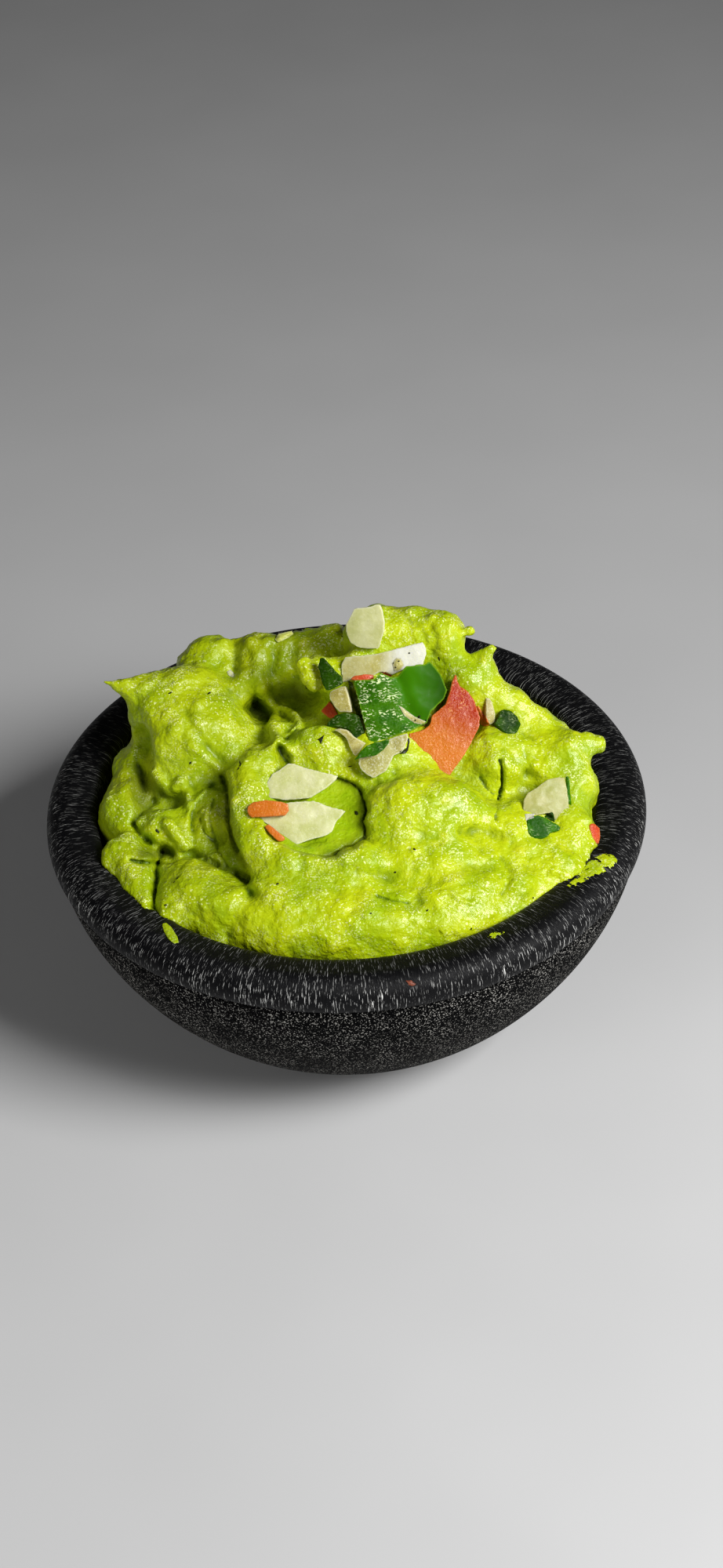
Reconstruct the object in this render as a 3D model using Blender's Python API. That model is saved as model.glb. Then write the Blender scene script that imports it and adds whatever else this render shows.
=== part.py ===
"""A small dark stone bowl heaped with guacamole, with diced onion, tomato and green chilli on top.

Blender 4.5, metres, +Z up. The origin is the middle of the bowl's flat foot, where it stands.
The front of the heap is -Y. Every separate piece is an object of its own.
"""

import math

import bmesh
import bpy
from mathutils import Euler, Matrix, Vector

MM = 0.001

# The bowl: outside, foot, and the rounded rim with a groove under it.
RIM_RADIUS = 62.5 * MM
BOWL_HEIGHT = 53.0 * MM
FOOT_RADIUS = 23.75 * MM
CROWN_RADIUS = 57.6 * MM
SHOULDER_DROP = 4.4 * MM
GROOVE_RADIUS = 61.6 * MM
GROOVE_DROP = 6.0 * MM
GROOVE_STEP = 0.6 * MM
GROOVE_DEPTH = 0.9 * MM

# The inside: a rounded lip, then a wall down to the floor.
LIP_RADIUS = 52.4 * MM
LIP_ROUND = 2.4 * MM
LIP_DROP = 2.2 * MM
FLOOR_THICKNESS = 9.0 * MM
ROUND_SEGMENTS = 56

# The gap that keeps neighbouring solids apart.
GAP = 0.3 * MM

# The mash: the grain that welds its lumps, how uneven it is, and the share of facets that it keeps.
GRAIN = 1.1 * MM
MASH_SIZE = 7.0 * MM
MASH_HEIGHT = 2.6 * MM
SOFTENING = 8
HEAP_SHARE = 0.04

# Each lump of the heap: middle (x, y, height above the rim), half sizes, and turn in degrees; in mm.
LUMPS = {
    "fill": ((0, 0, -20), (53, 53, 20), (0, 0, 0)),
    "core": ((3, 4, -4), (38, 34, 18), (0, 0, 0)),
    # The big dollop at the back left, with its chin over the low ground.
    "left_dollop": ((-31.5, 8, 8), (13, 12.5, 12), (0, 0, 0)),
    "left_dollop_side": ((-38, 11, 11), (7, 7, 9), (0, 0, 0)),
    "left_dollop_top": ((-34, 14, 14), (9, 7, 5.5), (0, -10, 0)),
    "left_dollop_chin": ((-33, 0, 4), (7.5, 7, 7), (0, 0, 0)),
    "left_dollop_right": ((-23, 3, 7), (7, 7, 7), (0, 0, 0)),
    # The ridge behind it.
    "back_ridge_left": ((-27, 25, 11), (8, 7, 9.5), (0, 0, 0)),
    "back_ridge": ((-17, 24, 13.5), (9, 7, 8.5), (0, 0, 0)),
    "back_ridge_right": ((-7, 24, 15), (8, 7, 8.5), (0, 0, 0)),
    "back_ridge_knob": ((-2.5, 25, 19.5), (4, 4, 3.5), (0, 0, 0)),
    # The peak, and the pile that the toppings lie on.
    "peak_left": ((6.5, 17, 24.5), (7.5, 7, 9), (0, 0, 0)),
    "peak_middle": ((14, 16, 24.5), (8, 7.5, 8.5), (0, 0, 0)),
    "peak_right": ((20, 14, 25.5), (5.5, 6, 7.5), (0, 0, 0)),
    "peak_seat": ((12, 12, 13), (17, 13, 11), (0, 0, 0)),
    "pile_seat": ((10, -1, 10), (16, 12, 8.5), (0, 0, 0)),
    "pile_left": ((-5, -5, 12.5), (6.5, 5.5, 6), (0, 0, 0)),
    "pile_top": ((7, 8, 19), (10, 7, 6.5), (0, 0, 0)),
    "pile_knob": ((-4.4, 6, 24.5), (4.2, 4.5, 3.8), (0, 0, 0)),
    "saddle": ((26.7, 8, 19), (6, 6, 6.5), (0, 0, 0)),
    # The right shoulder.
    "shoulder_high": ((31.5, 7, 15), (6.5, 6.5, 8), (0, 0, 0)),
    "right_lobe": ((42, -4, 8), (9, 7.5, 6), (0, 8, 0)),
    "right_lobe_low": ((46, -9, 4), (6, 6.5, 6.5), (0, 0, 0)),
    "right_side": ((44.5, -17, 0), (6.5, 7, 6), (0, 0, 0)),
    "middle_right": ((32, -5, 9), (8, 7, 7), (0, 0, 0)),
    # The dome at the front and the slope beside it.
    "front_dome": ((15, -18.5, 5.5), (14.5, 9.5, 9), (0, 0, 0)),
    "front_dome_foot": ((15, -28, 0), (16, 9, 7.5), (0, 0, 0)),
    "right_slope": ((33, -19, -1.5), (13, 11, 9), (0, 8, 0)),
    # The low ground at the left.
    "shelf_left": ((-27.5, -31.5, -2.5), (8.6, 9, 7.5), (0, 0, 0)),
    "left_skirt": ((-45, 0, -2), (6, 10, 8.5), (0, 0, 0)),
    "left_knob": ((-37.5, -15.5, 3.6), (5, 4.6, 4.2), (0, 0, 0)),
    "left_knob_tail": ((-33.4, -19, 1.2), (4, 3.6, 3), (0, 0, 0)),
    "left_corner": ((-43.5, -17, -1.5), (6.5, 7.5, 6.5), (0, 0, 0)),
    "left_corner_low": ((-40, -27, -4), (6, 6.5, 6), (0, 0, 0)),
    # The far side.
    "far_middle": ((8, 30, 2), (22, 14, 12), (0, 0, 0)),
    "far_right": ((29, 24, 1), (15, 14, 11), (0, 0, 0)),
    "far_left": ((-34, 24, -1), (12, 13, 9), (0, 0, 0)),
}

# Rolls of mash: a run of points (x, y, height above the rim) with a radius at each; in mm.
ROLLS = {
    "crescent": [
        ((-16, -5, 13.5), 4.5),
        ((-19, -11, 11.5), 5.2),
        ((-20, -18, 8), 6.0),
        ((-17.5, -25, 4.5), 6.0),
        ((-9, -30.5, 2.5), 5.8),
        ((2, -31, 3), 6.0),
    ],
    "left_tip": [
        ((-38, 12, 16.5), 4.5),
        ((-44, 12, 19), 2.6),
        ((-48.4, 12, 20.6), 1.0),
    ],
    "shelf": [
        ((-26, -33, -4.5), 8.6),
        ((-12, -38, -4.2), 9.2),
        ((4, -39.5, -4.6), 9.0),
        ((20, -37, -5), 8.8),
        ((33, -31, -5), 8.6),
    ],
    "knob_neck": [((-4, 7, 23), 3.6), ((3, 9, 21), 5.5)],
    "strand": [
        ((-17, 14, 18.5), 3.5),
        ((-13.5, 9, 17), 2.6),
        ((-11, 4, 14.5), 3.0),
        ((-12, 0, 11.5), 3.5),
    ],
    "peak_nub": [((22, 12, 29), 3.0), ((27.6, 12, 30.3), 1.3)],
    "spike": [((30, 9, 20), 4.5), ((31.4, 9, 27), 1.4)],
    "shoulder_slope": [((32, 6, 17.5), 5.0), ((42, 2, 9.5), 5.0)],
    "right_nub": [((46, -4, 10.5), 4.5), ((52.6, -4, 11.2), 2.4)],
}
ROLL_STEP = 0.3

# Hollows pressed into the heap, given as lumps are.
HOLLOWS = {
    "cave": ((-17.5, 8, 16), (4.2, 7, 4.5), (0, 0, 0)),
    "cave_floor": ((-17, -2, 17.5), (4, 7, 3.2), (0, 0, 0)),
    "recess": ((-7, 6, 20.5), (4.5, 7, 5), (0, 0, 0)),
    "spoon_hollow": ((-6.5, -21, 14.5), (11.5, 10.5, 6.4), (40, 0, 0)),
    "skirt_gap": ((-42.5, 0, 11), (3.2, 8, 6), (0, -8, 0)),
    "corner_gap": ((-35.5, -27.5, 6), (1.5, 8, 6), (0, 0, 0)),
}

# Each topping is a four-cornered slab, in mm. Its face looks along its own +Z, which the turn tips to
# the front and then round. Corners run bottom left, bottom right, top right, top left; bulges bow the
# bottom, right, top and left edges outwards; dome raises the middle, across and up the face.
# They run from the top of the pile down: each is cut back to lie under those before it.
TOPPINGS = {
    "pepper_square": dict(
        middle=(11, -2, 22.5),
        turn=(52, 0, 0),
        corners=((-6, -7.5), (6.5, -5.5), (7.5, 8.5), (-8.5, 4.5)),
        bulges=(0.3, 2.8, 0.5, 0.2),
        thickness=1.8,
        dome=(2.2, 0.3),
        cells=(6, 4),
    ),
    "tomato_wedge": dict(
        middle=(21, -5, 17.5),
        turn=(46, 0, 4),
        corners=((-8.5, -3.5), (-1, -9.5), (7, 2), (3, 11)),
        bulges=(0.8, 1.6, 0.5, -0.3),
        thickness=4.5,
        dome=(0.8, 0.8),
        cells=(4, 5),
    ),
    "onion_peak": dict(
        middle=(6, 11, 32.5),
        turn=(60, 0, -6),
        corners=((-3, -4), (3, -4), (3, 4.5), (-2.5, 3.5)),
        bulges=(0.5, 0.7, 0.2, 1.7),
        thickness=3.6,
        dome=(0.4, 0.4),
        cells=(3, 4),
    ),
    "onion_strip": dict(
        middle=(8.5, 6.5, 26.5),
        turn=(48, 0, -4),
        corners=((-9, -3.5), (9, -0.5), (9, 4), (-9, 0)),
        bulges=(0.3, 0.3, 0.8, 0.1),
        thickness=3.0,
        dome=(0.4, 0.5),
        cells=(6, 3),
    ),
    "pepper_leaf_left": dict(
        middle=(-2, 1.5, 28),
        turn=(50, 0, -25),
        corners=((0.5, -4.5), (3, -1.5), (-0.5, 2.5), (-3, 3)),
        bulges=(0.2, 0.4, 0.2, 0.9),
        thickness=1.5,
        dome=(0.6, 0.2),
        cells=(3, 3),
    ),
    "tomato_strip_left": dict(
        middle=(-15, -22, 12),
        turn=(40, 0, -6),
        corners=((-4, -1.5), (3.5, -1.5), (4, 1.5), (-3.5, 1.5)),
        bulges=(0.3, 0.2, 0.3, 0.9),
        thickness=2.0,
        dome=(0.5, 0.3),
        cells=(3, 3),
    ),
    "onion_left_upper": dict(
        middle=(-9, -14, 12),
        turn=(40, 0, 0),
        corners=((-6, -2), (1, -3.5), (8, 2), (-2.5, 3.5)),
        bulges=(0.4, 0.4, 0.8, 1.0),
        thickness=2.8,
        dome=(0.5, 0.5),
        cells=(4, 4),
    ),
    "onion_left_lower": dict(
        middle=(-11.5, -21.5, 9.5),
        turn=(40, 0, 0),
        corners=((-6.5, -0.5), (1, -5.5), (11, 2.5), (-6, 3.5)),
        bulges=(0.2, 1.3, 0.2, 0.2),
        thickness=2.6,
        dome=(0.5, 0.3),
        cells=(4, 4),
    ),
    "pepper_curl": dict(
        middle=(5.5, -11.5, 18.5),
        turn=(55, 0, -10),
        corners=((-4, -2.5), (1, -1), (3.5, 2), (-1, 1)),
        bulges=(0.2, 0.2, 0.0, 0.3),
        thickness=1.4,
        dome=(0.5, 0.2),
        cells=(3, 3),
    ),
    "pepper_fold_left": dict(
        middle=(1.5, -3, 18.5),
        turn=(50, 0, -15),
        corners=((-4.5, -1), (3.5, -3), (2.5, 1.5), (-1.5, 2.5)),
        bulges=(-0.4, 0.2, 0.3, 0.2),
        thickness=1.6,
        dome=(0.5, 0.6),
        cells=(3, 3),
    ),
    "onion_under_pepper": dict(
        middle=(8, -11, 16),
        turn=(50, 0, 5),
        corners=((-3.5, -3.5), (3, -1.5), (5.5, 4), (-5, 0.5)),
        bulges=(0.4, 0.3, 0.0, 0.2),
        thickness=2.6,
        dome=(0.3, 0.3),
        cells=(3, 3),
    ),
    "onion_chip_left": dict(
        middle=(0.5, 1, 22),
        turn=(50, 0, -20),
        corners=((-1.5, -2), (2.5, -2), (1.5, 2.5), (-2.5, 1.5)),
        bulges=(0.3, 0.2, 0.3, 0.3),
        thickness=2.4,
        dome=(0.4, 0.4),
        cells=(3, 3),
    ),
    "tomato_chip_left": dict(
        middle=(-2.5, 3.5, 17.5),
        turn=(50, 0, -20),
        corners=((0, -2), (2, 0), (0, 2.5), (-2, -0.5)),
        bulges=(0.1, 0.1, 0.1, 0.1),
        thickness=1.8,
        dome=(0.2, 0.2),
        cells=(3, 3),
    ),
    "tomato_chip_top": dict(
        middle=(4.5, 3, 26),
        turn=(50, 0, 0),
        corners=((-2.5, -0.5), (2.5, -0.5), (2.5, 0.5), (-2.5, 0.5)),
        bulges=(0.1, 0.1, 0.1, 0.1),
        thickness=1.6,
        dome=(0.2, 0.2),
        cells=(3, 3),
    ),
    "onion_chip_low": dict(
        middle=(1.5, -7, 17),
        turn=(50, 0, -15),
        corners=((0.5, -3.5), (3, -1), (0.5, 3), (-3.5, 2)),
        bulges=(0.2, 0.2, 0.2, 0.2),
        thickness=2.2,
        dome=(0.3, 0.3),
        cells=(3, 3),
    ),
    "onion_sliver_right": dict(
        middle=(30, 1, 18),
        turn=(50, 0, 20),
        corners=((-1.5, -2.5), (0.5, -3), (1.5, 2.5), (0, 3)),
        bulges=(0.1, 0.2, 0.2, 0.1),
        thickness=1.6,
        dome=(0.2, 0.2),
        cells=(3, 3),
    ),
    "pepper_right": dict(
        middle=(39, -23, 5),
        turn=(45, 0, 14),
        corners=((-2.5, -1), (1, -2), (4, -0.5), (-2.5, 3)),
        bulges=(0.3, 0.1, 0.9, 0.0),
        thickness=1.5,
        dome=(0.5, 0.4),
        cells=(3, 3),
    ),
    "onion_right": dict(
        middle=(41, -17, 7.5),
        turn=(45, 0, 14),
        corners=((-5.5, -3), (2, -6.5), (4.5, 4.5), (-1, 4.5)),
        bulges=(0.2, 0.2, 0.3, 0.3),
        thickness=3.2,
        dome=(0.3, 0.3),
        cells=(3, 4),
    ),
    "pepper_right_back": dict(
        middle=(33.5, -1.5, 16),
        turn=(45, 0, 25),
        corners=((-1, -3), (2.5, -1.5), (1, 3), (-2.5, 1.5)),
        bulges=(0.3, 0.3, 0.3, 0.3),
        thickness=1.8,
        dome=(0.3, 0.3),
        cells=(3, 3),
    ),
    "tomato_chip_low": dict(
        middle=(-14.5, -23, 7),
        turn=(40, 0, 0),
        corners=((-0.5, -1.5), (1.5, -1.5), (1, 1), (-2, 2)),
        bulges=(0.1, 0.1, 0.1, 0.1),
        thickness=1.4,
        dome=(0.2, 0.2),
        cells=(3, 3),
    ),
    "tomato_rim": dict(
        middle=(49.5, -21.5, 2.5),
        turn=(55, 0, 40),
        corners=((-2, -1.5), (0, -2), (2, 1), (0, 2.5)),
        bulges=(0.3, 0.4, 0.3, 0.1),
        thickness=1.3,
        dome=(0.3, 0.3),
        cells=(3, 3),
    ),
}

# The share of its width that a slab keeps at its underside, and its smallest half width in mm.
UNDERSIDE = 0.9
LEAST_REACH = 1.5


def clear_scene():
    for obj in list(bpy.data.objects):
        bpy.data.objects.remove(obj)


def make_material(name, colour, roughness):
    material = bpy.data.materials.new(name)
    material.use_nodes = True
    shader = material.node_tree.nodes["Principled BSDF"]
    shader.inputs["Base Color"].default_value = (*colour, 1.0)
    shader.inputs["Roughness"].default_value = roughness
    return material


def add_object(name, mesh, material=None):
    obj = bpy.data.objects.new(name, mesh)
    bpy.context.scene.collection.objects.link(obj)
    if material:
        mesh.materials.append(material)
    return obj


def mesh_from(bm, name):
    mesh = bpy.data.meshes.new(name)
    bm.to_mesh(mesh)
    bm.free()
    return mesh


def hide_helper(obj):
    """Marks a cutter or guide, which is no part of the object."""
    obj.hide_render = True
    obj.display_type = "WIRE"
    return obj


def boolean(obj, name, operation, other):
    modifier = obj.modifiers.new(name, "BOOLEAN")
    modifier.operation = operation
    modifier.object = other
    modifier.solver = "EXACT"


def arc(centre, radii, start, end, steps):
    """Points (radius, height) along part of an ellipse, with angles in degrees from outwards."""
    points = []
    for i in range(steps + 1):
        angle = math.radians(start + (end - start) * i / steps)
        points.append((centre[0] + radii[0] * math.cos(angle), centre[1] + radii[1] * math.sin(angle)))
    return points


def outer_wall(top_radius, top_height, steps=8):
    """The bowl's outside from the foot up to the groove: steep at the top, round at the bottom."""
    points = []
    for i in reversed(range(steps + 1)):
        down = math.sin(math.radians(90 * i / steps))
        swell = (1 - down**1.6) ** 0.68
        points.append((FOOT_RADIUS + (top_radius - FOOT_RADIUS) * swell, top_height * (1 - down)))
    return points


def inner_wall(clearance, steps=6):
    """The bowl's inside from under the lip to the middle of the floor, drawn in by a clearance."""
    top_radius = LIP_RADIUS - 0.6 * MM - clearance
    top_height = BOWL_HEIGHT - LIP_DROP - 0.8 * MM
    depth = top_height - FLOOR_THICKNESS - clearance
    points = []
    for i in range(steps):
        around = math.radians(90 * i / steps)
        radius = top_radius * math.cos(around) ** 0.75
        points.append((radius, top_height - depth * math.sin(around) ** 1.25))
    points.append((0.0, top_height - depth))
    return points


def lip(clearance, steps=3):
    """The rounded inner edge of the rim, from its top down to the wall, grown by a clearance."""
    centre = (LIP_RADIUS + LIP_ROUND, BOWL_HEIGHT - LIP_DROP)
    radii = (LIP_ROUND + 0.5 * MM + clearance, LIP_DROP - 0.3 * MM + clearance)
    return arc(centre, radii, 90, 180, steps)


def bowl_outline():
    """The bowl's section, from the middle of its underside out, up over the rim and down inside."""
    groove_height = BOWL_HEIGHT - GROOVE_DROP
    body = outer_wall(GROOVE_RADIUS - 0.5 * MM, groove_height - 2 * GROOVE_STEP)
    groove = [
        (GROOVE_RADIUS - GROOVE_DEPTH, groove_height - GROOVE_STEP),
        (GROOVE_RADIUS, groove_height),
    ]
    shoulder_centre = (CROWN_RADIUS, BOWL_HEIGHT - SHOULDER_DROP)
    shoulder = arc(shoulder_centre, (RIM_RADIUS - CROWN_RADIUS, SHOULDER_DROP), 0, 90, 4)
    return [(0.0, 0.0), *body, *groove, *shoulder, *lip(0.0), *inner_wall(0.0)]


def lathe(name, outline, material=None):
    """A closed solid turned round Z from (radius, height) points that start and end on the axis."""
    bm = bmesh.new()
    points = [bm.verts.new((radius, 0.0, height)) for radius, height in outline]
    edges = [bm.edges.new(pair) for pair in zip(points, points[1:])]
    bmesh.ops.spin(
        bm,
        geom=points + edges,
        cent=(0, 0, 0),
        axis=(0, 0, 1),
        angle=math.tau,
        steps=ROUND_SEGMENTS,
        use_merge=True,
        use_duplicate=False,
    )
    bmesh.ops.remove_doubles(bm, verts=bm.verts, dist=0.01 * MM)
    bmesh.ops.recalc_face_normals(bm, faces=bm.faces)
    mesh = mesh_from(bm, name)
    mesh.shade_smooth()
    mesh.set_sharp_from_angle(angle=math.radians(50))
    return add_object(name, mesh, material)


def room_in_bowl():
    """The space that the heap may fill: the bowl's inside, and all that is above the rim."""
    clearance = 1.3 * GAP
    lip_down = lip(clearance)
    sky = 3 * BOWL_HEIGHT
    over_rim = [(RIM_RADIUS - 2 * MM, sky), (RIM_RADIUS - 2 * MM, BOWL_HEIGHT + 1 * MM)]
    outline = [(0.0, sky), *over_rim, *lip_down, *inner_wall(clearance)]
    return hide_helper(lathe("room_in_bowl", outline))


def placed(middle, half_sizes, turn):
    """Stretches, turns and sets down a unit ball, from millimetres above the rim."""
    place = Vector((middle[0] * MM, middle[1] * MM, BOWL_HEIGHT + middle[2] * MM))
    rotation = Euler([math.radians(angle) for angle in turn]).to_matrix().to_4x4()
    stretch = Matrix.Diagonal((*[half * MM for half in half_sizes], 1.0))
    return Matrix.Translation(place) @ rotation @ stretch


def add_ball(bm, matrix):
    bmesh.ops.create_icosphere(bm, subdivisions=3, radius=1.0, matrix=matrix)


def add_roll(bm, stations):
    """Balls along a run of stations, close enough together to weld into a roll."""
    for (start, start_radius), (end, end_radius) in zip(stations, stations[1:]):
        length = (Vector(end) - Vector(start)).length
        steps = max(2, round(length / (ROLL_STEP * start_radius)))
        for i in range(steps + 1):
            share = i / steps
            radius = start_radius + (end_radius - start_radius) * share
            add_ball(bm, placed(Vector(start).lerp(Vector(end), share), [radius] * 3, (0, 0, 0)))


def lump_mesh(name, lumps, rolls):
    bm = bmesh.new()
    for middle, half_sizes, turn in lumps.values():
        add_ball(bm, placed(middle, half_sizes, turn))
    for stations in rolls.values():
        add_roll(bm, stations)
    return mesh_from(bm, name)


def weld(obj):
    """Makes the overlapping balls of obj one closed skin."""
    remesh = obj.modifiers.new("weld", "REMESH")
    remesh.mode = "VOXEL"
    remesh.voxel_size = GRAIN


def build_heap(material, toppings):
    heap = add_object("guacamole", lump_mesh("guacamole", LUMPS, ROLLS), material)
    weld(heap)
    hollows = hide_helper(add_object("hollows", lump_mesh("hollows", HOLLOWS, {})))
    weld(hollows)
    boolean(heap, "hollow", "DIFFERENCE", hollows)
    weld(heap)
    soften = heap.modifiers.new("soften", "SMOOTH")
    soften.iterations = SOFTENING
    clouds = bpy.data.textures.new("mashed", "CLOUDS")
    clouds.noise_scale = MASH_SIZE
    clouds.noise_depth = 1
    mashed = heap.modifiers.new("mashed", "DISPLACE")
    mashed.texture = clouds
    mashed.strength = MASH_HEIGHT
    fewer = heap.modifiers.new("fewer", "DECIMATE")
    fewer.ratio = HEAP_SHARE
    boolean(heap, "fit", "INTERSECT", room_in_bowl())
    for name in toppings:
        boolean(heap, name, "DIFFERENCE", bpy.data.objects["room_" + name])
    settle(heap)


def connected_bodies(bm):
    """The vertices of each separate body of a mesh, with the smallest body first."""
    bodies = []
    left = set(bm.verts)
    while left:
        body = []
        to_visit = [left.pop()]
        while to_visit:
            vert = to_visit.pop()
            body.append(vert)
            near = [edge.other_vert(vert) for edge in vert.link_edges]
            fresh = [other for other in near if other in left]
            left.difference_update(fresh)
            to_visit.extend(fresh)
        bodies.append(body)
    return sorted(bodies, key=len)


def settle(obj):
    """Makes obj's modified form its mesh, without the loose crumbs that cuts leave."""
    finished = obj.evaluated_get(bpy.context.evaluated_depsgraph_get())
    bm = bmesh.new()
    bm.from_mesh(finished.data)
    bmesh.ops.dissolve_degenerate(bm, dist=0.005 * MM, edges=bm.edges)
    crumbs = [vert for body in connected_bodies(bm)[:-1] for vert in body]
    bmesh.ops.delete(bm, geom=crumbs, context="VERTS")
    obj.modifiers.clear()
    bm.to_mesh(obj.data)
    bm.free()


def bowed_edge(start, end, bulge, t):
    """The point at t along an edge from start to end, bowed to the right of its run."""
    run = (end - start).normalized()
    return start.lerp(end, t) + Vector((run.y, -run.x)) * (bulge * 4 * t * (1 - t))


def face_point(size, u, v):
    """The point of a topping's face at u across and v up, from 0 to 1."""
    low_left, low_right, high_right, high_left = [Vector(corner) for corner in size["corners"]]
    below, right, above, left = size["bulges"]
    bottom = bowed_edge(low_left, low_right, below, u)
    top = bowed_edge(high_left, high_right, -above, u)
    left_side = bowed_edge(low_left, high_left, -left, v)
    right_side = bowed_edge(low_right, high_right, right, v)
    flat = low_left.lerp(low_right, u).lerp(high_left.lerp(high_right, u), v)
    point = bottom.lerp(top, v) + left_side.lerp(right_side, u) - flat
    across, up = size["dome"]
    height = across * 4 * u * (1 - u) + up * 4 * v * (1 - v) - 0.5 * (across + up)
    return Vector((point.x, point.y, height))


def slab_layer(bm, size, depth, keep, grow):
    """A grid of vertices across a topping, depth below its face."""
    cells_across, cells_up = size["cells"]
    layer = []
    for j in range(cells_up + 1):
        row = []
        for i in range(cells_across + 1):
            point = face_point(size, i / cells_across, j / cells_up)
            spread = keep + grow / max(LEAST_REACH, point.xy.length)
            row.append(bm.verts.new(Vector((point.x * spread, point.y * spread, point.z - depth)) * MM))
        layer.append(row)
    return layer


def rim_of(layer):
    """The vertices round the edge of a layer, anticlockwise."""
    right = [row[-1] for row in layer[1:-1]]
    left = [row[0] for row in reversed(layer[1:-1])]
    return [*layer[0], *right, *reversed(layer[-1]), *left]


def slab_mesh(name, size, grow):
    """A topping's slab in its own frame, grown all round by so many millimetres."""
    cells_across, cells_up = size["cells"]
    bm = bmesh.new()
    face = slab_layer(bm, size, -grow, 1.0, grow)
    underside = slab_layer(bm, size, size["thickness"] + grow, UNDERSIDE, grow)
    for layer in (face, underside):
        for j in range(cells_up):
            for i in range(cells_across):
                square = [layer[j][i], layer[j][i + 1], layer[j + 1][i + 1], layer[j + 1][i]]
                if layer is underside:
                    square.reverse()
                bm.faces.new(square)
    face_rim = rim_of(face)
    under_rim = rim_of(underside)
    for k in range(len(face_rim)):
        after = (k + 1) % len(face_rim)
        bm.faces.new((face_rim[k], under_rim[k], under_rim[after], face_rim[after]))
    return mesh_from(bm, name)


def place_topping(obj, size):
    x, y, height = size["middle"]
    obj.location = (x * MM, y * MM, BOWL_HEIGHT + height * MM)
    obj.rotation_euler = [math.radians(angle) for angle in size["turn"]]


def may_touch(one, other):
    apart = Vector(one["middle"]) - Vector(other["middle"])
    reach = sum(max(Vector(corner).length for corner in size["corners"]) for size in (one, other))
    return apart.length < reach


def build_toppings(materials):
    """Builds each topping and the room that it takes up in whatever lies under it."""
    done = []
    for name, size in TOPPINGS.items():
        piece = add_object(name, slab_mesh(name, size, 0.0), materials[name.split("_")[0]])
        place_topping(piece, size)
        room = hide_helper(add_object("room_" + name, slab_mesh("room_" + name, size, GAP / MM)))
        place_topping(room, size)
        for above in done:
            if may_touch(size, TOPPINGS[above]):
                boolean(piece, above, "DIFFERENCE", bpy.data.objects["room_" + above])
        done.append(name)
    return done


def main():
    clear_scene()
    stone = make_material("stone", (0.03, 0.03, 0.032), 0.55)
    avocado = make_material("avocado", (0.42, 0.55, 0.03), 0.4)
    diced = {
        "onion": make_material("onion", (0.78, 0.76, 0.55), 0.3),
        "tomato": make_material("tomato", (0.72, 0.09, 0.03), 0.3),
        "pepper": make_material("chilli", (0.02, 0.13, 0.01), 0.3),
    }
    lathe("bowl", bowl_outline(), stone)
    build_heap(avocado, build_toppings(diced))


main()
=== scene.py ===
import math
import random

import bpy
from mathutils import Euler, Matrix, Vector
from mathutils.bvhtree import BVHTree


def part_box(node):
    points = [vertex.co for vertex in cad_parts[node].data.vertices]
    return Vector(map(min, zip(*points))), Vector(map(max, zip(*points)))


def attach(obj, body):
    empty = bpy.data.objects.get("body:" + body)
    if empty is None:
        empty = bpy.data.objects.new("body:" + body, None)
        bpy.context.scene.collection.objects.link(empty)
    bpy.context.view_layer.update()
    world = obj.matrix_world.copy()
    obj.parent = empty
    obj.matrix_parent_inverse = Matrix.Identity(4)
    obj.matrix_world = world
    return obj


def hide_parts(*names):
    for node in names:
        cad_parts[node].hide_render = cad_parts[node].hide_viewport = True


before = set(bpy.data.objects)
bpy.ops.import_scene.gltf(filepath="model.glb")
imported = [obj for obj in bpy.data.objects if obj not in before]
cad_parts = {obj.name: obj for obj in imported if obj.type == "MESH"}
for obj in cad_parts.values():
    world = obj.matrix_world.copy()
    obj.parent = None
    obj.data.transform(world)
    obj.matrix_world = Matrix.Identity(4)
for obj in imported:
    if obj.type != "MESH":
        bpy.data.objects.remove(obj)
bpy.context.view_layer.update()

mm = 0.001
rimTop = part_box("bowl")[1][2]
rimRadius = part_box("bowl")[1][0]


def pick(*pieces):
    bpy.ops.object.select_all(action="DESELECT")
    for piece in pieces:
        piece.select_set(True)
    bpy.context.view_layer.objects.active = pieces[0]


def applyModifier(obj, kind, **values):
    pick(obj)
    modifier = obj.modifiers.new(kind.lower(), kind)
    for key, value in values.items():
        setattr(modifier, key, value)
    bpy.ops.object.modifier_apply(modifier=modifier.name)


def roughen(obj, name, size, strength, **values):
    texture = bpy.data.textures.new(name, "CLOUDS")
    texture.noise_scale = size * mm
    texture.noise_depth = 1
    applyModifier(obj, "DISPLACE", texture=texture, strength=strength * mm, **values)


def weld(obj, grain):
    applyModifier(obj, "REMESH", mode="VOXEL", voxel_size=grain * mm)


def joinAll(pieces, name):
    pick(*pieces)
    bpy.ops.object.join()
    pieces[0].name = pieces[0].data.name = name
    return pieces[0]


def smoothShade(obj, angle=180):
    pick(obj)
    bpy.ops.object.shade_smooth_by_angle(angle=math.radians(angle))


def aboveRim(x, y, height):
    return Vector((x * mm, y * mm, rimTop + height * mm))


# the face of the heap leans back 38 degrees: places on it are right, up the face and out of it, in mm
faceLean = Matrix.Rotation(math.radians(52), 3, "X")
faceOut = faceLean @ Vector((0, 0, 1))
farOut = 90


def toFace(co):
    place = faceLean.transposed() @ (co - aboveRim(0, 0, 0))
    return place.x / mm, place.y / mm, place.z / mm


def fromFace(x, up, out):
    return aboveRim(0, 0, 0) + faceLean @ (Vector((x, up, out)) * mm)


# how far out of the face the surface lies at a place on it
def outAt(tree, x, up):
    hit = tree.ray_cast(fromFace(x, up, farOut), -faceOut)[0]
    return toFace(hit)[2] if hit else 0


def lineDistance(x, y, start, end):
    dx, dy = end[0] - start[0], end[1] - start[1]
    share = ((x - start[0]) * dx + (y - start[1]) * dy) / (dx * dx + dy * dy)
    share = max(0, min(1, share))
    return math.hypot(x - start[0] - dx * share, y - start[1] - dy * share)


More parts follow.
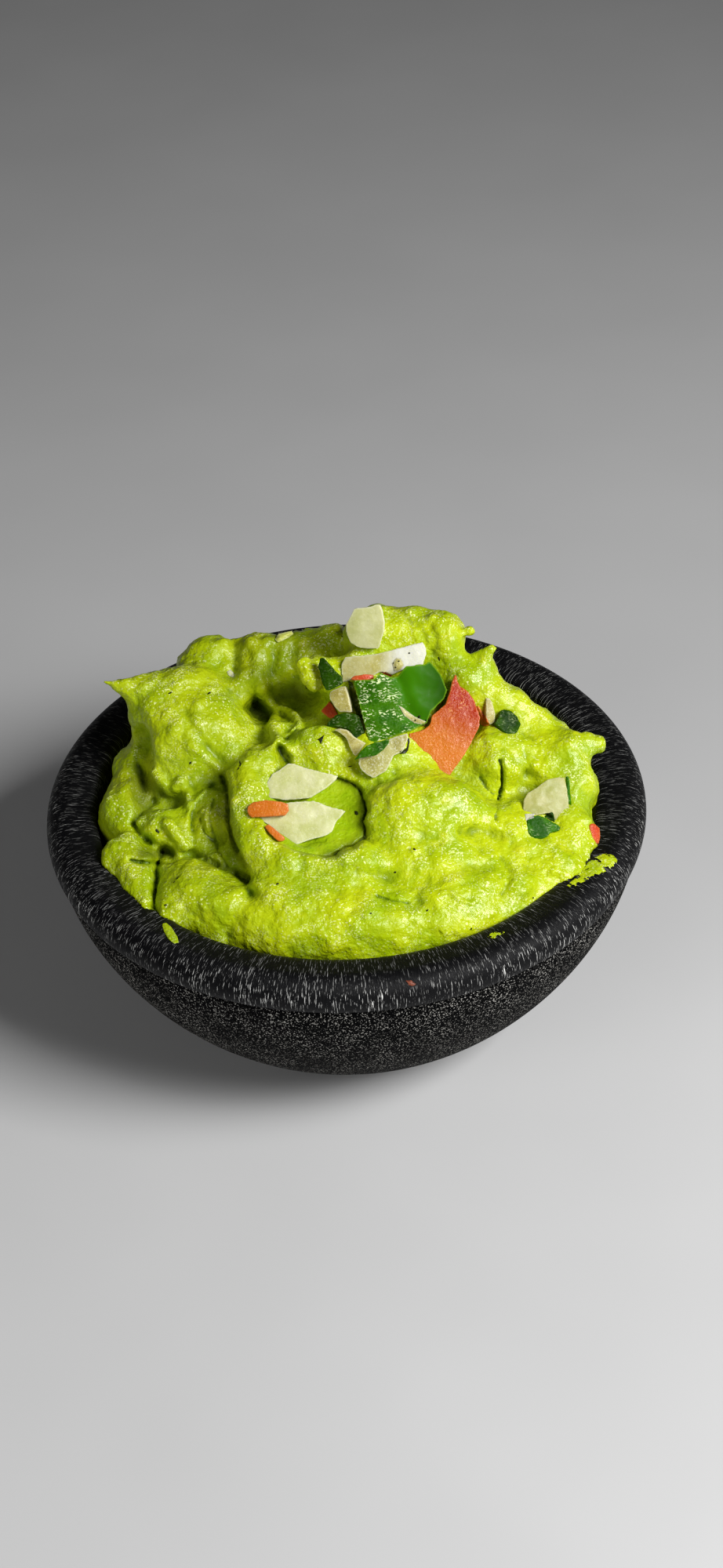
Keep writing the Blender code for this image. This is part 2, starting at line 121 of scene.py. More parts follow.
# how far inside an outline a place lies, below 0 outside it
def insideBy(x, y, outline):
    inside, nearest = False, 1e9
    for start, end in zip(outline, outline[1:] + outline[:1]):
        if (start[1] > y) != (end[1] > y):
            if x < start[0] + (end[0] - start[0]) * (y - start[1]) / (end[1] - start[1]):
                inside = not inside
        nearest = min(nearest, lineDistance(x, y, start, end))
    return nearest if inside else -nearest


# a line drawn with a soft brush: 1 on it, fading to 0 within brushReach widths
brushReach = 2.4


def brush(x, y, path, width):
    near = min(lineDistance(x, y, start, end) for start, end in zip(path, path[1:]))
    return math.exp(-(near / width) ** 2)


def soften(share):
    share = max(0, min(1, share))
    return share * share * (3 - 2 * share)


def reachOf(points, margin):
    across, up = [p[0] for p in points], [p[1] for p in points]
    return min(across) - margin, max(across) + margin, min(up) - margin, max(up) + margin


def within(x, y, reach):
    return reach[0] < x < reach[1] and reach[2] < y < reach[3]


# ball that the lumps are copied from, at unit size
def unitBall(subdivisions):
    bpy.ops.mesh.primitive_ico_sphere_add(subdivisions=subdivisions, radius=1)
    ball = bpy.context.active_object
    mesh = ball.data
    bpy.data.objects.remove(ball)
    return mesh


def addCopy(mesh, name):
    made = bpy.data.objects.new(name, mesh.copy())
    bpy.context.collection.objects.link(made)
    return made


def turned(angles):
    return Euler([math.radians(a) for a in angles]).to_matrix().to_4x4()


def addBall(mesh, where, halfSizes, turn=(0, 0, 0)):
    ball = addCopy(mesh, "lump")
    stretch = Matrix.Diagonal((*[half * mm for half in halfSizes], 1))
    ball.data.transform(Matrix.Translation(where) @ turned(turn) @ stretch)
    return ball


# the heap, in mm: lumps and hollows are middle above the rim, half sizes and turn if any;
# rolls and nubs are strings of balls as middle and radius, fringes as place on the face, lift and radius;
# scoops press the face down to a floor: slope tilts it, dish and rise curve it, and edge is how wide its side is;
# calm smooths a scoop, and shade darkens it over the width of fade;
# folds are drawn in before the skin is welded and cuts after it, as depth, width and path on the face;
# painted shade lines darken along a line, as shade, width and path
mash = {
    "coarse": 1.1, "grain": 0.48, "hiddenBelow": 7, "mostTriangles": 190000,
    "seed": 7, "chunks": 230, "chunkSize": (0.5, 1.4), "chunksDown": 4,
    # unevenness as size and height
    "mashed": (7, 2.4), "lumpy": (3, 0.75), "grainy": (1, 0.3),
    "creases": {"fineCrease": 6, "deepCrease": 60},
    "nearFloor": 1.6, "calmEdge": 0.8, "calming": 0.75, "shadedFrom": -0.3,
    "lumps": [
        ((0, 0, -20), (53, 53, 20)), ((3, 4, -4), (38, 34, 18)), ((-31.5, 8, 8), (13, 12.5, 12)),
        ((-38, 11, 11), (7, 7, 9)), ((-34, 14, 15.6), (9.5, 7, 6.1), (0, -8, 0)), ((-33, 0, 4), (7.5, 7, 7)),
        ((-23, 3, 7), (7, 7, 7)), ((-27.5, 25, 12), (8, 7, 9.5)), ((-26.5, 24.5, 19.6), (3.2, 3, 3)),
        ((-17, 24, 14), (9, 7, 8.5)), ((-7, 24, 14.6), (8, 7, 8.5)), ((-1.6, 24.5, 21.2), (3.8, 4, 3.8)),
        ((-19.5, 18, 14.5), (5, 5, 5)), ((8, 17, 24.5), (7, 7, 9)), ((14, 16, 24.5), (8, 7.5, 8.5)),
        ((20.5, 14, 26.2), (5.5, 6, 7.5)), ((12, 12, 13), (17, 13, 11)), ((10, -1, 10), (16, 12, 8.5)),
        ((-4.6, -3.8, 12), (6.8, 6.5, 6.2)), ((7, 8, 19), (10, 7, 6.5)), ((-5.2, 7.5, 24.4), (3.4, 3.4, 3.8)),
        ((26, 8, 19), (5.5, 6, 6.5)), ((30, 7, 14), (5.5, 6.5, 8)), ((42, -4, 8), (9, 7.5, 6), (0, 8, 0)),
        ((46, -9, 4), (6, 6.5, 6.5)), ((44.5, -17, 0), (6.5, 7, 6)), ((32, -5, 9), (8, 7, 7)),
        ((15, -18.5, 5.8), (14.5, 9.5, 9)), ((15, -28, 0), (16, 9, 7.5)),
        ((33, -19, -1.5), (13, 11, 9), (0, 8, 0)), ((-28.5, -30.5, -2.2), (9.6, 9, 7.6)),
        ((-27.5, -11, 1.5), (6, 8, 6.5)), ((-43, 6, 1.5), (6, 7, 6)), ((-44.5, -4.5, -1.4), (7, 10, 8)),
        ((-37, -13.5, 3.6), (4.2, 3.8, 3.6)), ((-44, -20, -1.2), (6.8, 6, 5.6)),
        ((-41, -26.5, -4.2), (6.5, 6.5, 6.2)), ((8, 30, 2), (22, 14, 12)), ((27, 20, -3), (14, 12, 9)),
        ((-34, 24, -1), (12, 13, 9)), ((-38, -6, -3.5), (5.5, 5.5, 5.5)), ((-35.5, -15.5, -5), (4.5, 4.5, 4.5)),
        ((-35.8, -20, -5.5), (4, 4, 3.5)), ((-35, -33, -4.2), (8, 7, 6.5)), ((-39.5, -30.5, -4.6), (6, 6, 6)),
        ((46, -20.5, -1.5), (6, 6, 5.5)), ((41, -27.5, -3), (7.4, 6.8, 6.4)),
        ((-23.5, -22.5, 0.5), (3.5, 3.5, 3)), ((-27, -18.5, -1), (4, 4, 3.5)),
    ],
    "hollows": [
        ((-16.5, 6, 16), (3.2, 5, 3.2)), ((-17, -2, 17.5), (4, 7, 3.2)),
        ((-6.5, -21, 14.5), (11.5, 10.5, 6.4), (40, 0, 0)), ((-42.5, 0, 11.5), (3.2, 8, 6), (0, -8, 0)),
    ],
    "rolls": [
        [(-15.5, -5, 14, 4.4), (-18.5, -11, 11.8, 5), (-18.8, -18, 8.2, 5.6), (-16.5, -25, 4.8, 5.8),
         (-9, -30.5, 2.5, 5.8), (2, -31, 3, 6)],
        [(-38, 12, 17.2, 4.5), (-44, 12, 19, 2.4), (-48.6, 12, 20.6, 0.9)],
        [(-26, -33, -4.5, 8.6), (-12, -38, -4.2, 9.2), (4, -39.5, -4.6, 9), (20, -37, -5, 8.8),
         (33, -31, -5, 8.6)],
        [(-4, 8.5, 22.8, 3), (3, 9, 21, 5.5)], [(-12.5, 3, 13, 2.6), (-12, 0, 11.5, 3.5)],
        [(21.2, 12.6, 29.6, 2.4), (22.4, 12.4, 28, 2.2)], [(28.5, 9.5, 20, 4.4), (30, 9, 25, 1.8)],
        [(32, 6, 16.5, 4.8), (42, 2, 9.5, 5)], [(46, -4, 10.5, 4.2), (50, -4, 11.4, 2.8)],
        [(-34.6, -16, 2.2, 2.8), (-32.4, -19, 0.6, 2.4)], [(45.5, -8, 8, 4), (48.4, -8.5, 7.4, 3)],
    ],
    "nubs": [
        [(21.6, 12.4, 29.2, 0.95), (25.4, 12, 29.6, 0.85), (26.4, 12, 29.7, 1.05), (26.9, 12, 29.9, 1.15)],
        [(29.4, 9, 25, 1.9), (30.4, 9, 26.6, 1.2), (31.3, 9, 27.6, 1)],
        [(27.4, 9.2, 24.2, 1.5), (28.4, 9.2, 25.2, 1.2)], [(49.6, -4, 11.6, 2.6), (51.7, -4.2, 11.6, 2.1)],
        [(-44.5, 12, 19.8, 1.5), (-47.2, 12, 20.4, 0.8), (-48.6, 12, 20.7, 0.45)], [(-15.2, 23, 21.2, 1.7)],
        [(-18.6, 23, 21.4, 1.6)], [(-7.4, 6.8, 26.8, 1.7), (-6.6, 4.9, 25.4, 1.8), (-5.4, 3.2, 24, 1.4)],
        [(-5.4, 6.4, 26, 2), (-4.8, 4.6, 24.8, 1.9)], [(-6.2, 5.2, 25.6, 2.1), (-5.2, 3.9, 24.6, 2)],
    ],
    "fringes": [
        [(-16.8, 21.4, -0.6, 1.5), (-15.4, 19.2, -0.2, 1.1), (-14, 17.2, 0, 0.8)],
        [(-13, 17.4, 0.9, 0.6), (-11.9, 17, 1.5, 0.7), (-10.7, 16.1, 1.8, 0.75), (-9.6, 14.9, 1.9, 0.8),
         (-9, 13.6, 1.5, 0.75), (-9.4, 12.4, 0.9, 0.7), (-10.2, 11.9, 0.4, 0.6)],
        [(-14, 15.3, 0.2, 1), (-14.5, 13.2, 0.4, 1.1), (-13.9, 11.1, 0.3, 1.1), (-12.6, 9.8, 0.2, 0.9)],
        [(-38.8, 4.4, 0.6, 1.2), (-37.4, 2.4, 0.8, 1.4), (-35.8, 0.4, 0.6, 1.1)],
        [(-34.6, 1.4, 0.6, 1.2), (-33.6, 2.4, 0.7, 1.3)], [(-32.1, 0.4, -0.2, 1.1), (-31.7, -2.6, -0.3, 0.9)],
        [(-28, -4, -0.4, 1.5), (-28, -6.6, -0.4, 1.4)], [(-41.8, -5.4, 0.2, 1.2)],
        [(-36.2, -5.6, 0.3, 1.2), (-34, -8.4, 0.3, 1.3), (-32.6, -10.6, 0.2, 1.1)],
    ],
    "scoops": {
        "spoonHollow": {"middle": (-2.5, -5.5), "floor": 19.6, "slope": (-0.22, -0.72), "dish": 0.006,
            "rise": 0.045, "edge": 0.5, "calm": 1, "fade": 1,
            "outline": [(-6.3, 1.4), (-3.5, 2.2), (-1.1, 2.2), (0.1, 1.8), (1.7, 0.9), (2.9, -0.2), (3.6, -1.7),
            (4.2, -3.4), (4.4, -4.9), (3.6, -6.9), (3.9, -7.8), (4, -9.1), (3.6, -10.4), (2.3, -11.1),
            (1.2, -12), (-0.4, -12.1), (-1.3, -12.7), (-2.2, -13.4), (-4.2, -13.5), (-6.2, -13.2),
            (-8.4, -12.8), (-11, -12), (-13.4, -10.8), (-15.6, -9.2), (-16.6, -7.4), (-16.4, -5), (-16, -2),
            (-14.5, 0.6), (-10, 1.4)]},
        "cave": {"middle": (-17, 17), "floor": -8, "slope": (0.5, -0.9), "edge": 1.1, "calm": 0.5,
            "shade": 0.85, "fade": 1.8,
            "outline": [(-17.9, 20.5), (-16.6, 19.2), (-15.1, 17.6), (-13.1, 15.1), (-13.8, 13.8),
            (-15.6, 13.3), (-17.8, 13.9), (-19.4, 15), (-20.9, 17.1), (-19.9, 18.4), (-19, 19.6)]},
        "recess": {"middle": (-8, 20), "floor": -2.5, "slope": (0.2, -0.7), "edge": 1.6, "calm": 0.5,
            "shade": 0.75, "fade": 4,
            "outline": [(-10.6, 24.6), (-8.4, 24.2), (-6.6, 21.6), (-3.2, 19.2), (-2.4, 17.6), (-4.4, 16.4),
            (-7.6, 15), (-9.8, 15), (-11.6, 16.6), (-12.9, 19), (-12.6, 22.6)]},
        "crescent": {"middle": (-27.5, -6), "floor": 16.6, "slope": (0.5, -0.55), "dish": -0.02, "edge": 0.5,
            "shade": 0.22, "fade": 1.5,
            "outline": [(-24, 4.4), (-23.3, 1.7), (-22.9, -1.5), (-22.9, -5.4), (-22.4, -8.2), (-21.6, -11.4),
            (-20.2, -14.5), (-18.8, -17.5), (-19.8, -19), (-22.4, -17.4), (-26.2, -15.4), (-29.8, -13.6),
            (-31.6, -12.5), (-31.8, -9.1), (-32.2, -6.1), (-31.6, -3.7), (-30.2, -1.6), (-28, 1),
            (-25.8, 3.9)]},
        "channel": {"middle": (-12, 6.5), "floor": 13.2, "slope": (-0.9, -0.3), "edge": 1.2, "shade": 0.35,
            "fade": 1.5,
            "outline": [(-14.4, 9.4), (-12.1, 10.4), (-11.6, 9.4), (-11.1, 8.3), (-10.2, 7), (-10, 5.9),
            (-10.8, 4.8), (-12.4, 3.2), (-13.9, 2.4), (-13.8, 5.5)]},
        "gully": {"middle": (-40.5, 1), "floor": 4.5, "slope": (0, -1.1), "edge": 2.4, "shade": 0.3,
            "fade": 2.4,
            "outline": [(-43.8, 9.5), (-42.6, 8.6), (-40, 5.2), (-39.2, 2), (-37.4, -1), (-33.8, -1.8),
            (-34.4, -4), (-38.2, -1.9), (-40.2, -2.9), (-42.2, -5.2), (-43.9, -5.2), (-44.4, -2.3),
            (-44.2, 2.5), (-44.6, 6)]},
        "ridgeShadow": {"shade": 0.3, "fade": 3,
            "outline": [(-24, 33), (-24.5, 26), (-22, 21.5), (-16, 21), (-9, 24.5), (-6.5, 27), (-2, 28),
            (-1.5, 33), (-8, 36), (-16, 36)]},
        "lobeShadow": {"shade": 0.6, "fade": 3,
            "outline": [(-47.2, 7.8), (-43.4, 9.3), (-40.3, 6.4), (-36.9, 3), (-32.3, 0.1), (-31, -2.8),
            (-33.3, -3.7), (-37.6, -2.6), (-39.7, -4.1), (-40.6, -6.9), (-43.5, -5.2), (-45.3, -0.7)]},
    },
    "folds": {
        "underCrescent": (3.2, 1.4, [(-32.2, -12.3), (-29.6, -13.8), (-27.1, -15.1), (-24.8, -16.6),
            (-22.5, -17.3), (-20.5, -18.7), (-19, -20.3)]),
        "blockSplit": (3.5, 0.9, [(-37.8, -11.7), (-38.6, -14.4), (-38.5, -17.4), (-38.7, -20.5),
            (-38.7, -23.7)]),
        "frontFold": (1.1, 1.4, [(1.6, -19.8), (5.4, -21.5), (8.4, -22.6), (11.5, -23.1), (13.8, -22.5)]),
        "ridgeFold": (1.5, 1, [(-22, 31), (-21.9, 28.7), (-22.4, 24.5)]),
        "ridgeMiddle": (1.4, 1, [(-14.4, 31.7), (-13.7, 27.5), (-15, 23.9)]),
        "ridgeRight": (1.2, 1.1, [(-9.5, 30.3), (-10.2, 26.5), (-9, 24)]),
        "ridgeCrest": (-0.9, 1.1, [(-18.2, 31.8), (-17.5, 27.6), (-17.1, 23.4), (-15.6, 20.9)]),
        "knobGap": (3.2, 0.8, [(-39.6, -1.3), (-41.5, -3.1), (-43.2, -5.5), (-42.2, -8), (-39.9, -9.4)]),
        "knobFoot": (3.5, 1, [(-41.2, -9.6), (-38.6, -10.8), (-36, -11.6)]),
        "lobeFold": (0.9, 0.8, [(-31.8, 17.3), (-31, 14), (-29.2, 10.7), (-24.7, 5.7)]),
        "lobeRidge": (-0.8, 1.1, [(-31.2, 10), (-28.3, 7.5), (-25.2, 4.9)]),
        "lobeSwell": (0.8, 0.8, [(-36.8, 19.6), (-34.2, 18.6), (-32, 15.7), (-32.9, 11.5), (-36, 9.4)]),
        "lobeTopFold": (0.9, 0.6, [(-36.8, 27.2), (-37.2, 24.9), (-35.5, 23.2)]),
        "lobeStreak": (0.7, 0.7, [(-42.5, 20), (-40, 21.2), (-37.2, 24)]),
        "rightDip": (1.2, 0.9, [(34.4, 4.8), (36.4, 2.1), (38.3, 0.7)]),
        "rightPuff": (0.8, 0.7, [(36.6, 5.6), (37.3, 3.1), (36.6, 0.8)]),
        "rightFold": (1.2, 1.1, [(33, -12.5), (36, -11.2), (39, -11.6)]),
        "frontRightFold": (1.2, 0.8, [(30.6, -15.5), (32, -17.7), (31.5, -20.4), (30.1, -22.1)]),
        "frontRoll": (-0.8, 1, [(20.1, -18.5), (24.1, -18.5), (27.1, -19.5)]),
        "domeFold": (1, 0.8, [(10.4, 2.6), (13.4, 0.5), (15.6, -1.8)]),
        "domeDip": (1.3, 1.1, [(23.1, -9.9), (26.6, -9.5), (30.9, -11.2)]),
        "shoulderRoll": (-0.7, 0.9, [(27.5, 8.3), (29.9, 9), (32.2, 8.1)]),
        "peakFold": (1.1, 0.9, [(18.6, 32), (19.6, 29.5), (19.2, 26.4)]),
        "peakCrease": (0.8, 0.8, [(13.5, 34.7), (16.6, 32.1), (18, 28.8)]),
        "frontDip": (0.9, 1.4, [(-24.1, -27.6), (-22.4, -24.5), (-20.7, -21.5)]),
        "underHollow": (1.2, 1.3, [(-9, -15.4), (-4, -16), (0.5, -16.4), (4.1, -17.4), (8.7, -18.5)]),
        "earHollow": (1.6, 0.8, [(-12.5, 15.5), (-11.4, 13.7), (-11.4, 12.1), (-12, 10.4)]),
    },
    "cuts": {
        "rightSlit": (2.6, 0.3, [(31.6, 4.2), (32, 1.8), (32, -0.6), (31.4, -2.5), (31, -3.8)]),
        "rightFlap": (0.7, 0.3, [(27.5, 0.8), (28.7, -1.3), (29.9, -2.6), (31.3, -2.2)]),
        "rightLow": (0.9, 0.3, [(30.6, -4.5), (29.9, -7.6)]),
        "cornerSplit": (2.2, 0.4, [(-43.6, -12.9), (-41.8, -13.4), (-38.2, -13.8)]),
        "blockCut": (1.6, 0.4, [(-37.8, -11.7), (-38.6, -14.4), (-38.5, -17.4), (-38.7, -20.5),
            (-38.7, -23.7)]),
        "underCrescentCut": (0.8, 0.5, [(-29.6, -13.8), (-27.1, -15.1), (-24.8, -16.6), (-22.5, -17.3),
            (-20.5, -18.7), (-19.4, -20)]),
        "crescentEdge": (1.1, 0.4, [(-25.2, 3.3), (-23.8, 0.1), (-23.6, -4.7), (-23.2, -8.6), (-21.8, -11.6)]),
        "wallFold": (0.8, 0.4, [(-28.4, -2.9), (-29.4, -5.2), (-28.8, -7.9), (-27.2, -9.6)]),
        "wallStreak": (0.8, 0.4, [(-26.8, -1.4), (-27.7, -4.5), (-27.1, -7.7), (-25.9, -11.8), (-24.1, -14.7)]),
        "wallEdge": (0.6, 0.4, [(-27, 1.8), (-28.4, -0.1), (-30.4, -2.1), (-31.5, -4.4), (-31.2, -7.6)]),
        "frontFlap": (-0.5, 0.35, [(17.7, -21.5), (19.6, -21.1), (21.1, -22.1), (22.2, -23.2), (24.2, -23.6),
            (25, -22.9)]),
        "frontCut": (0.9, 0.35, [(5.4, -21.5), (8.4, -22.6), (11.5, -23.1)]),
        "channelCut": (1, 0.4, [(-13.2, 9.2), (-12.5, 6.8), (-11.3, 5.1), (-12.6, 4.1)]),
        "earGap": (2, 0.4, [(-9.6, 12.2), (-10.6, 11.2), (-11.8, 10.2)]),
        "hollowRim": (1.3, 0.35, [(1.7, 0.9), (2.9, -0.2), (3.6, -1.7), (4.2, -3.4), (4.4, -4.9), (3.7, -6.5),
            (4, -8.4), (3.6, -10.2), (2.3, -11), (1.2, -11.9), (-0.4, -12), (-1.3, -12.6), (-2.6, -13.3)]),
    },
    # painted shadow along the hollow's right side, the crescent's wall and foot, and under the knob
    "paintedShadeLines": {
        "hollowSide": (0.5, 0.9, [(0.6, 1.2), (2.2, 0), (3.2, -1.6), (3.8, -3.4), (3.9, -4.9), (3.2, -6.8),
            (3.4, -8.6), (3.1, -10), (1.8, -10.8), (0.6, -11.5), (-0.9, -11.9), (-2.2, -12.7), (-4.2, -13.1)]),
        "crescentBand": (0.6, 1.1, [(-25.2, 3.3), (-23.9, 0.1), (-23.7, -4.7), (-23.4, -8.6), (-22.4, -11.6),
            (-20.6, -14.5)]),
        "crescentFoot": (0.5, 1, [(-29.8, -12.4), (-27, -14), (-24, -15.3), (-21.5, -16)]),
        "knobShadow": (0.6, 1.3, [(-41.5, -11.6), (-38.6, -12), (-35.4, -12.6)]),
    },
}


def rollBalls(mesh, stations):
    balls = [addBall(mesh, stations[0][0], [stations[0][1]] * 3)]
    for (start, startRadius), (end, endRadius) in zip(stations, stations[1:]):
        steps = max(2, round((end - start).length / (0.3 * startRadius * mm)))
        for i in range(1, steps + 1):
            share = i / steps
            radius = startRadius + (endRadius - startRadius) * share
            balls.append(addBall(mesh, start.lerp(end, share), [radius] * 3))
    return balls


def stationsOf(rolls):
    return [[(aboveRim(*middle), radius) for *middle, radius in roll] for roll in rolls]


def makeHeap():
    ball = unitBall(3)
    balls = [addBall(ball, aboveRim(*middle), *shape) for middle, *shape in mash["lumps"]]
    for stations in stationsOf(mash["rolls"]):
        balls += rollBalls(ball, stations)
    heap = joinAll(balls, "mashHeap")
    weld(heap, mash["coarse"])
    hollows = [addBall(ball, aboveRim(*middle), *shape) for middle, *shape in mash["hollows"]]
    hollow = joinAll(hollows, "hollowTool")
    weld(hollow, mash["coarse"])
    applyModifier(heap, "BOOLEAN", operation="DIFFERENCE", object=hollow, solver="EXACT")
    bpy.data.objects.remove(hollow)
    weld(heap, mash["coarse"])
    applyModifier(heap, "SMOOTH", iterations=7)
    roughen(heap, "mashed", *mash["mashed"])
    return heap


def surfaceOf(*objects):
    points, faces = [], []
    for obj in objects:
        first = len(points)
        points += [v.co.copy() for v in obj.data.vertices]
        faces += [[first + v for v in f.vertices] for f in obj.data.polygons]
    return BVHTree.FromPolygons(points, faces)


# half-mashed bits of avocado, sunk into the skin of the heap
def addChunks(heap):
    chance = random.Random(mash["seed"])
    ball = unitBall(2)
    faces = [f for f in heap.data.polygons if f.center.z > rimTop - mash["chunksDown"] * mm]
    chunks = []
    for face in chance.choices(faces, weights=[f.area for f in faces], k=mash["chunks"]):
        low, high = mash["chunkSize"]
        size = low + (high - low) * chance.random() ** 2
        sizes = [size * chance.uniform(0.7, 1.5) for _ in range(3)]
        turn = [chance.uniform(0, 180) for _ in range(3)]
        middle = face.center - face.normal * size * chance.uniform(0.3, 0.8) * mm
        chunks.append(addBall(ball, middle, sizes, turn))
    return joinAll([heap, *chunks], "mashHeap")


def addRolls(heap):
    ball = unitBall(2)
    tree = surfaceOf(heap)
    rolls = stationsOf(mash["nubs"])
    rolls += [[(fromFace(x, up, outAt(tree, x, up) + lift), radius) for x, up, lift, radius in fringe]
              for fringe in mash["fringes"]]
    return joinAll([heap] + [b for stations in rolls for b in rollBalls(ball, stations)], "mashHeap")


def scoopFloor(scoop, x, up):
    dx, dy = x - scoop["middle"][0], up - scoop["middle"][1]
    plane = scoop["floor"] + scoop["slope"][0] * dx + scoop["slope"][1] * dy
    return plane + scoop["dish"] * (dx * dx + dy * dy) + scoop["rise"] * max(0, dx) ** 2


# a scoop without a floor of its own presses nothing and only darkens
plainScoop = {
    "middle": (0, 0), "floor": 40, "slope": (0, 0), "dish": 0, "rise": 0, "edge": 1, "calm": 0, "shade": 0,
}
scoops = {name: {**plainScoop, **scoop} for name, scoop in mash["scoops"].items()}


def withReach(lines):
    return [(reachOf(path, brushReach * width), depth, width, path) for depth, width, path in lines.values()]


# presses scoops down to their floors and draws lines in; a sharper press gives the scoops a steeper edge
def press(heap, pressed, lines, sharper=1.0):
    pressed = [(reachOf(scoop["outline"], 0), scoop) for scoop in pressed]
    lines = withReach(lines)
    moves = []
    for vert in heap.data.vertices:
        x, up, out = toFace(vert.co)
        start = out
        for reach, scoop in pressed:
            if within(x, up, reach):
                floor = scoopFloor(scoop, x, up)
                if out > floor:
                    share = insideBy(x, up, scoop["outline"]) * sharper / scoop["edge"]
                    out += (floor - out) * soften(share)
        if vert.normal.dot(faceOut) > 0:
            for reach, depth, width, path in lines:
                if within(x, up, reach):
                    out -= depth * brush(x, up, path, width)
        if out != start:
            moves.append((vert.index, fromFace(x, up, out)))
    for index, co in moves:
        heap.data.vertices[index].co = co


def storeValues(obj, name, values, kind="FLOAT"):
    attribute = obj.data.attributes.new(name, kind, "POINT")
    attribute.data.foreach_set("value" if kind == "FLOAT" else "vector", values)


# keeps how calm and how shaded each point is, for shaping and for the finish
def storeCalm(heap):
    reaches = [(reachOf(scoop["outline"], 0), scoop) for scoop in scoops.values()]
    paintedShadeLines = withReach(mash["paintedShadeLines"])
    calm, shade = [], []
    for vert in heap.data.vertices:
        x, up, out = toFace(vert.co)
        smooth, dark = 0, 0
        for reach, scoop in reaches:
            if within(x, up, reach) and out < scoopFloor(scoop, x, up) + mash["nearFloor"]:
                depth = insideBy(x, up, scoop["outline"])
                smooth = max(smooth, soften(depth / mash["calmEdge"]) * scoop["calm"])
                if vert.normal.dot(faceOut) > mash["shadedFrom"]:
                    dark = max(dark, soften(depth / scoop["fade"]) * scoop["shade"])
        # painted shade along each line
        for reach, darkest, width, path in paintedShadeLines:
            if within(x, up, reach):
                dark = max(dark, darkest * brush(x, up, path, width))
        calm.append(smooth)
        shade.append(dark)
    lively = heap.vertex_groups.new(name="lively")
    for i, share in enumerate(calm):
        lively.add([i], 1 - mash["calming"] * share, "REPLACE")
    storeValues(heap, "calm", calm)
    storeValues(heap, "shade", shade)


# how deep each point lies in a crease: how far smoothing lifts it
def storeCreases(heap, name, rounds):
    soft = addCopy(heap.data, "softHeap")
    applyModifier(soft, "SMOOTH", iterations=rounds, factor=1.0)
    pairs = zip(soft.data.vertices, heap.data.vertices)
    storeValues(heap, name, [(lifted.co - vert.co).dot(vert.normal) / mm for lifted, vert in pairs])
    bpy.data.objects.remove(soft)


heap = makeHeap()
print("heap shaped", len(heap.data.polygons))
heap = addChunks(heap)
weld(heap, mash["grain"])
applyModifier(heap, "SMOOTH", iterations=3)
press(heap, scoops.values(), mash["folds"])
heap = addRolls(heap)
weld(heap, mash["grain"])
applyModifier(heap, "SMOOTH", iterations=2)
press(heap, [scoops["spoonHollow"]], mash["cuts"], sharper=2.5)
storeCalm(heap)
for unevenness in ("lumpy", "grainy"):
    roughen(heap, unevenness, *mash[unevenness], vertex_group="lively")
print("heap textured", len(heap.data.polygons))


# the bowl, in mm: radii and how far below the rim; bulge and wallCurve are the powers that round it
# outside and inside, and the mash may reach out to its inside
bowl = {
    "foot": 23.75, "footRound": (1.0, 0.5), "bulge": (1.6, 0.68), "bulgeSteps": 90,
    "groove": 61.6, "grooveDrop": 6.0, "grooveSteps": ((0.7, 0.95), (1.0, 0.7), (0.95, 0.4), (0.45, 0.12)),
    "crown": 57.6, "shoulder": 4.4, "lipMiddle": 54.8, "lipDrop": 2.2, "lipRadii": (2.9, 1.9),
    "wall": 51.8, "wallDrop": 3.0, "wallCurve": (0.75, 1.25), "floor": 9.0, "around": 512,
}


# radius of the inside of the bowl at a height
def insideReach(z):
    top = rimTop - bowl["wallDrop"] * mm
    inward, downward = bowl["wallCurve"]
    if z < top:
        share = min(1, (top - z) / (top - bowl["floor"] * mm))
        around = math.asin(share ** (1 / downward))
        return bowl["wall"] * mm * max(0, math.cos(around)) ** inward
    width, height = bowl["lipRadii"]
    lift = min(1, max(0, (z - (rimTop - bowl["lipDrop"] * mm)) / (height * mm)))
    return (bowl["lipMiddle"] - width * math.sqrt(1 - lift * lift)) * mm


def fitInBowl(heap):
    for vert in heap.data.vertices:
        co = vert.co
        if co.z < rimTop - 0.2 * mm:
            reach = insideReach(max(co.z, bowl["floor"] * mm + 0.1 * mm))
            out = math.hypot(co.x, co.y)
            if out > reach:
                co.x *= reach / out
                co.y *= reach / out
            co.z = max(co.z, bowl["floor"] * mm)


# what lies deep in the bowl is never seen, so it gets few faces
def thinBelow(heap, z):
    pick(heap)
    for face in heap.data.polygons:
        face.select = all(heap.data.vertices[v].co.z < z for v in face.vertices)
    bpy.ops.object.mode_set(mode="EDIT")
    bpy.ops.mesh.select_mode(type="FACE")
    bpy.ops.mesh.decimate(ratio=0.05)
    bpy.ops.object.mode_set(mode="OBJECT")


fitInBowl(heap)
for crease, rounds in mash["creases"].items():
    storeCreases(heap, crease, rounds)
print("creases stored")
thinBelow(heap, rimTop - mash["hiddenBelow"] * mm)
heapTriangles = sum(len(f.vertices) - 2 for f in heap.data.polygons)
if heapTriangles > mash["mostTriangles"]:
    applyModifier(heap, "DECIMATE", ratio=mash["mostTriangles"] / heapTriangles)
smoothShade(heap)
print("heap fitted", len(heap.data.polygons))


def arcPoints(centre, radii, start, end, steps):
    angles = [math.radians(start + (end - start) * i / steps) for i in range(steps + 1)]
    return [(centre[0] + radii[0] * math.cos(a), centre[1] + radii[1] * math.sin(a)) for a in angles]


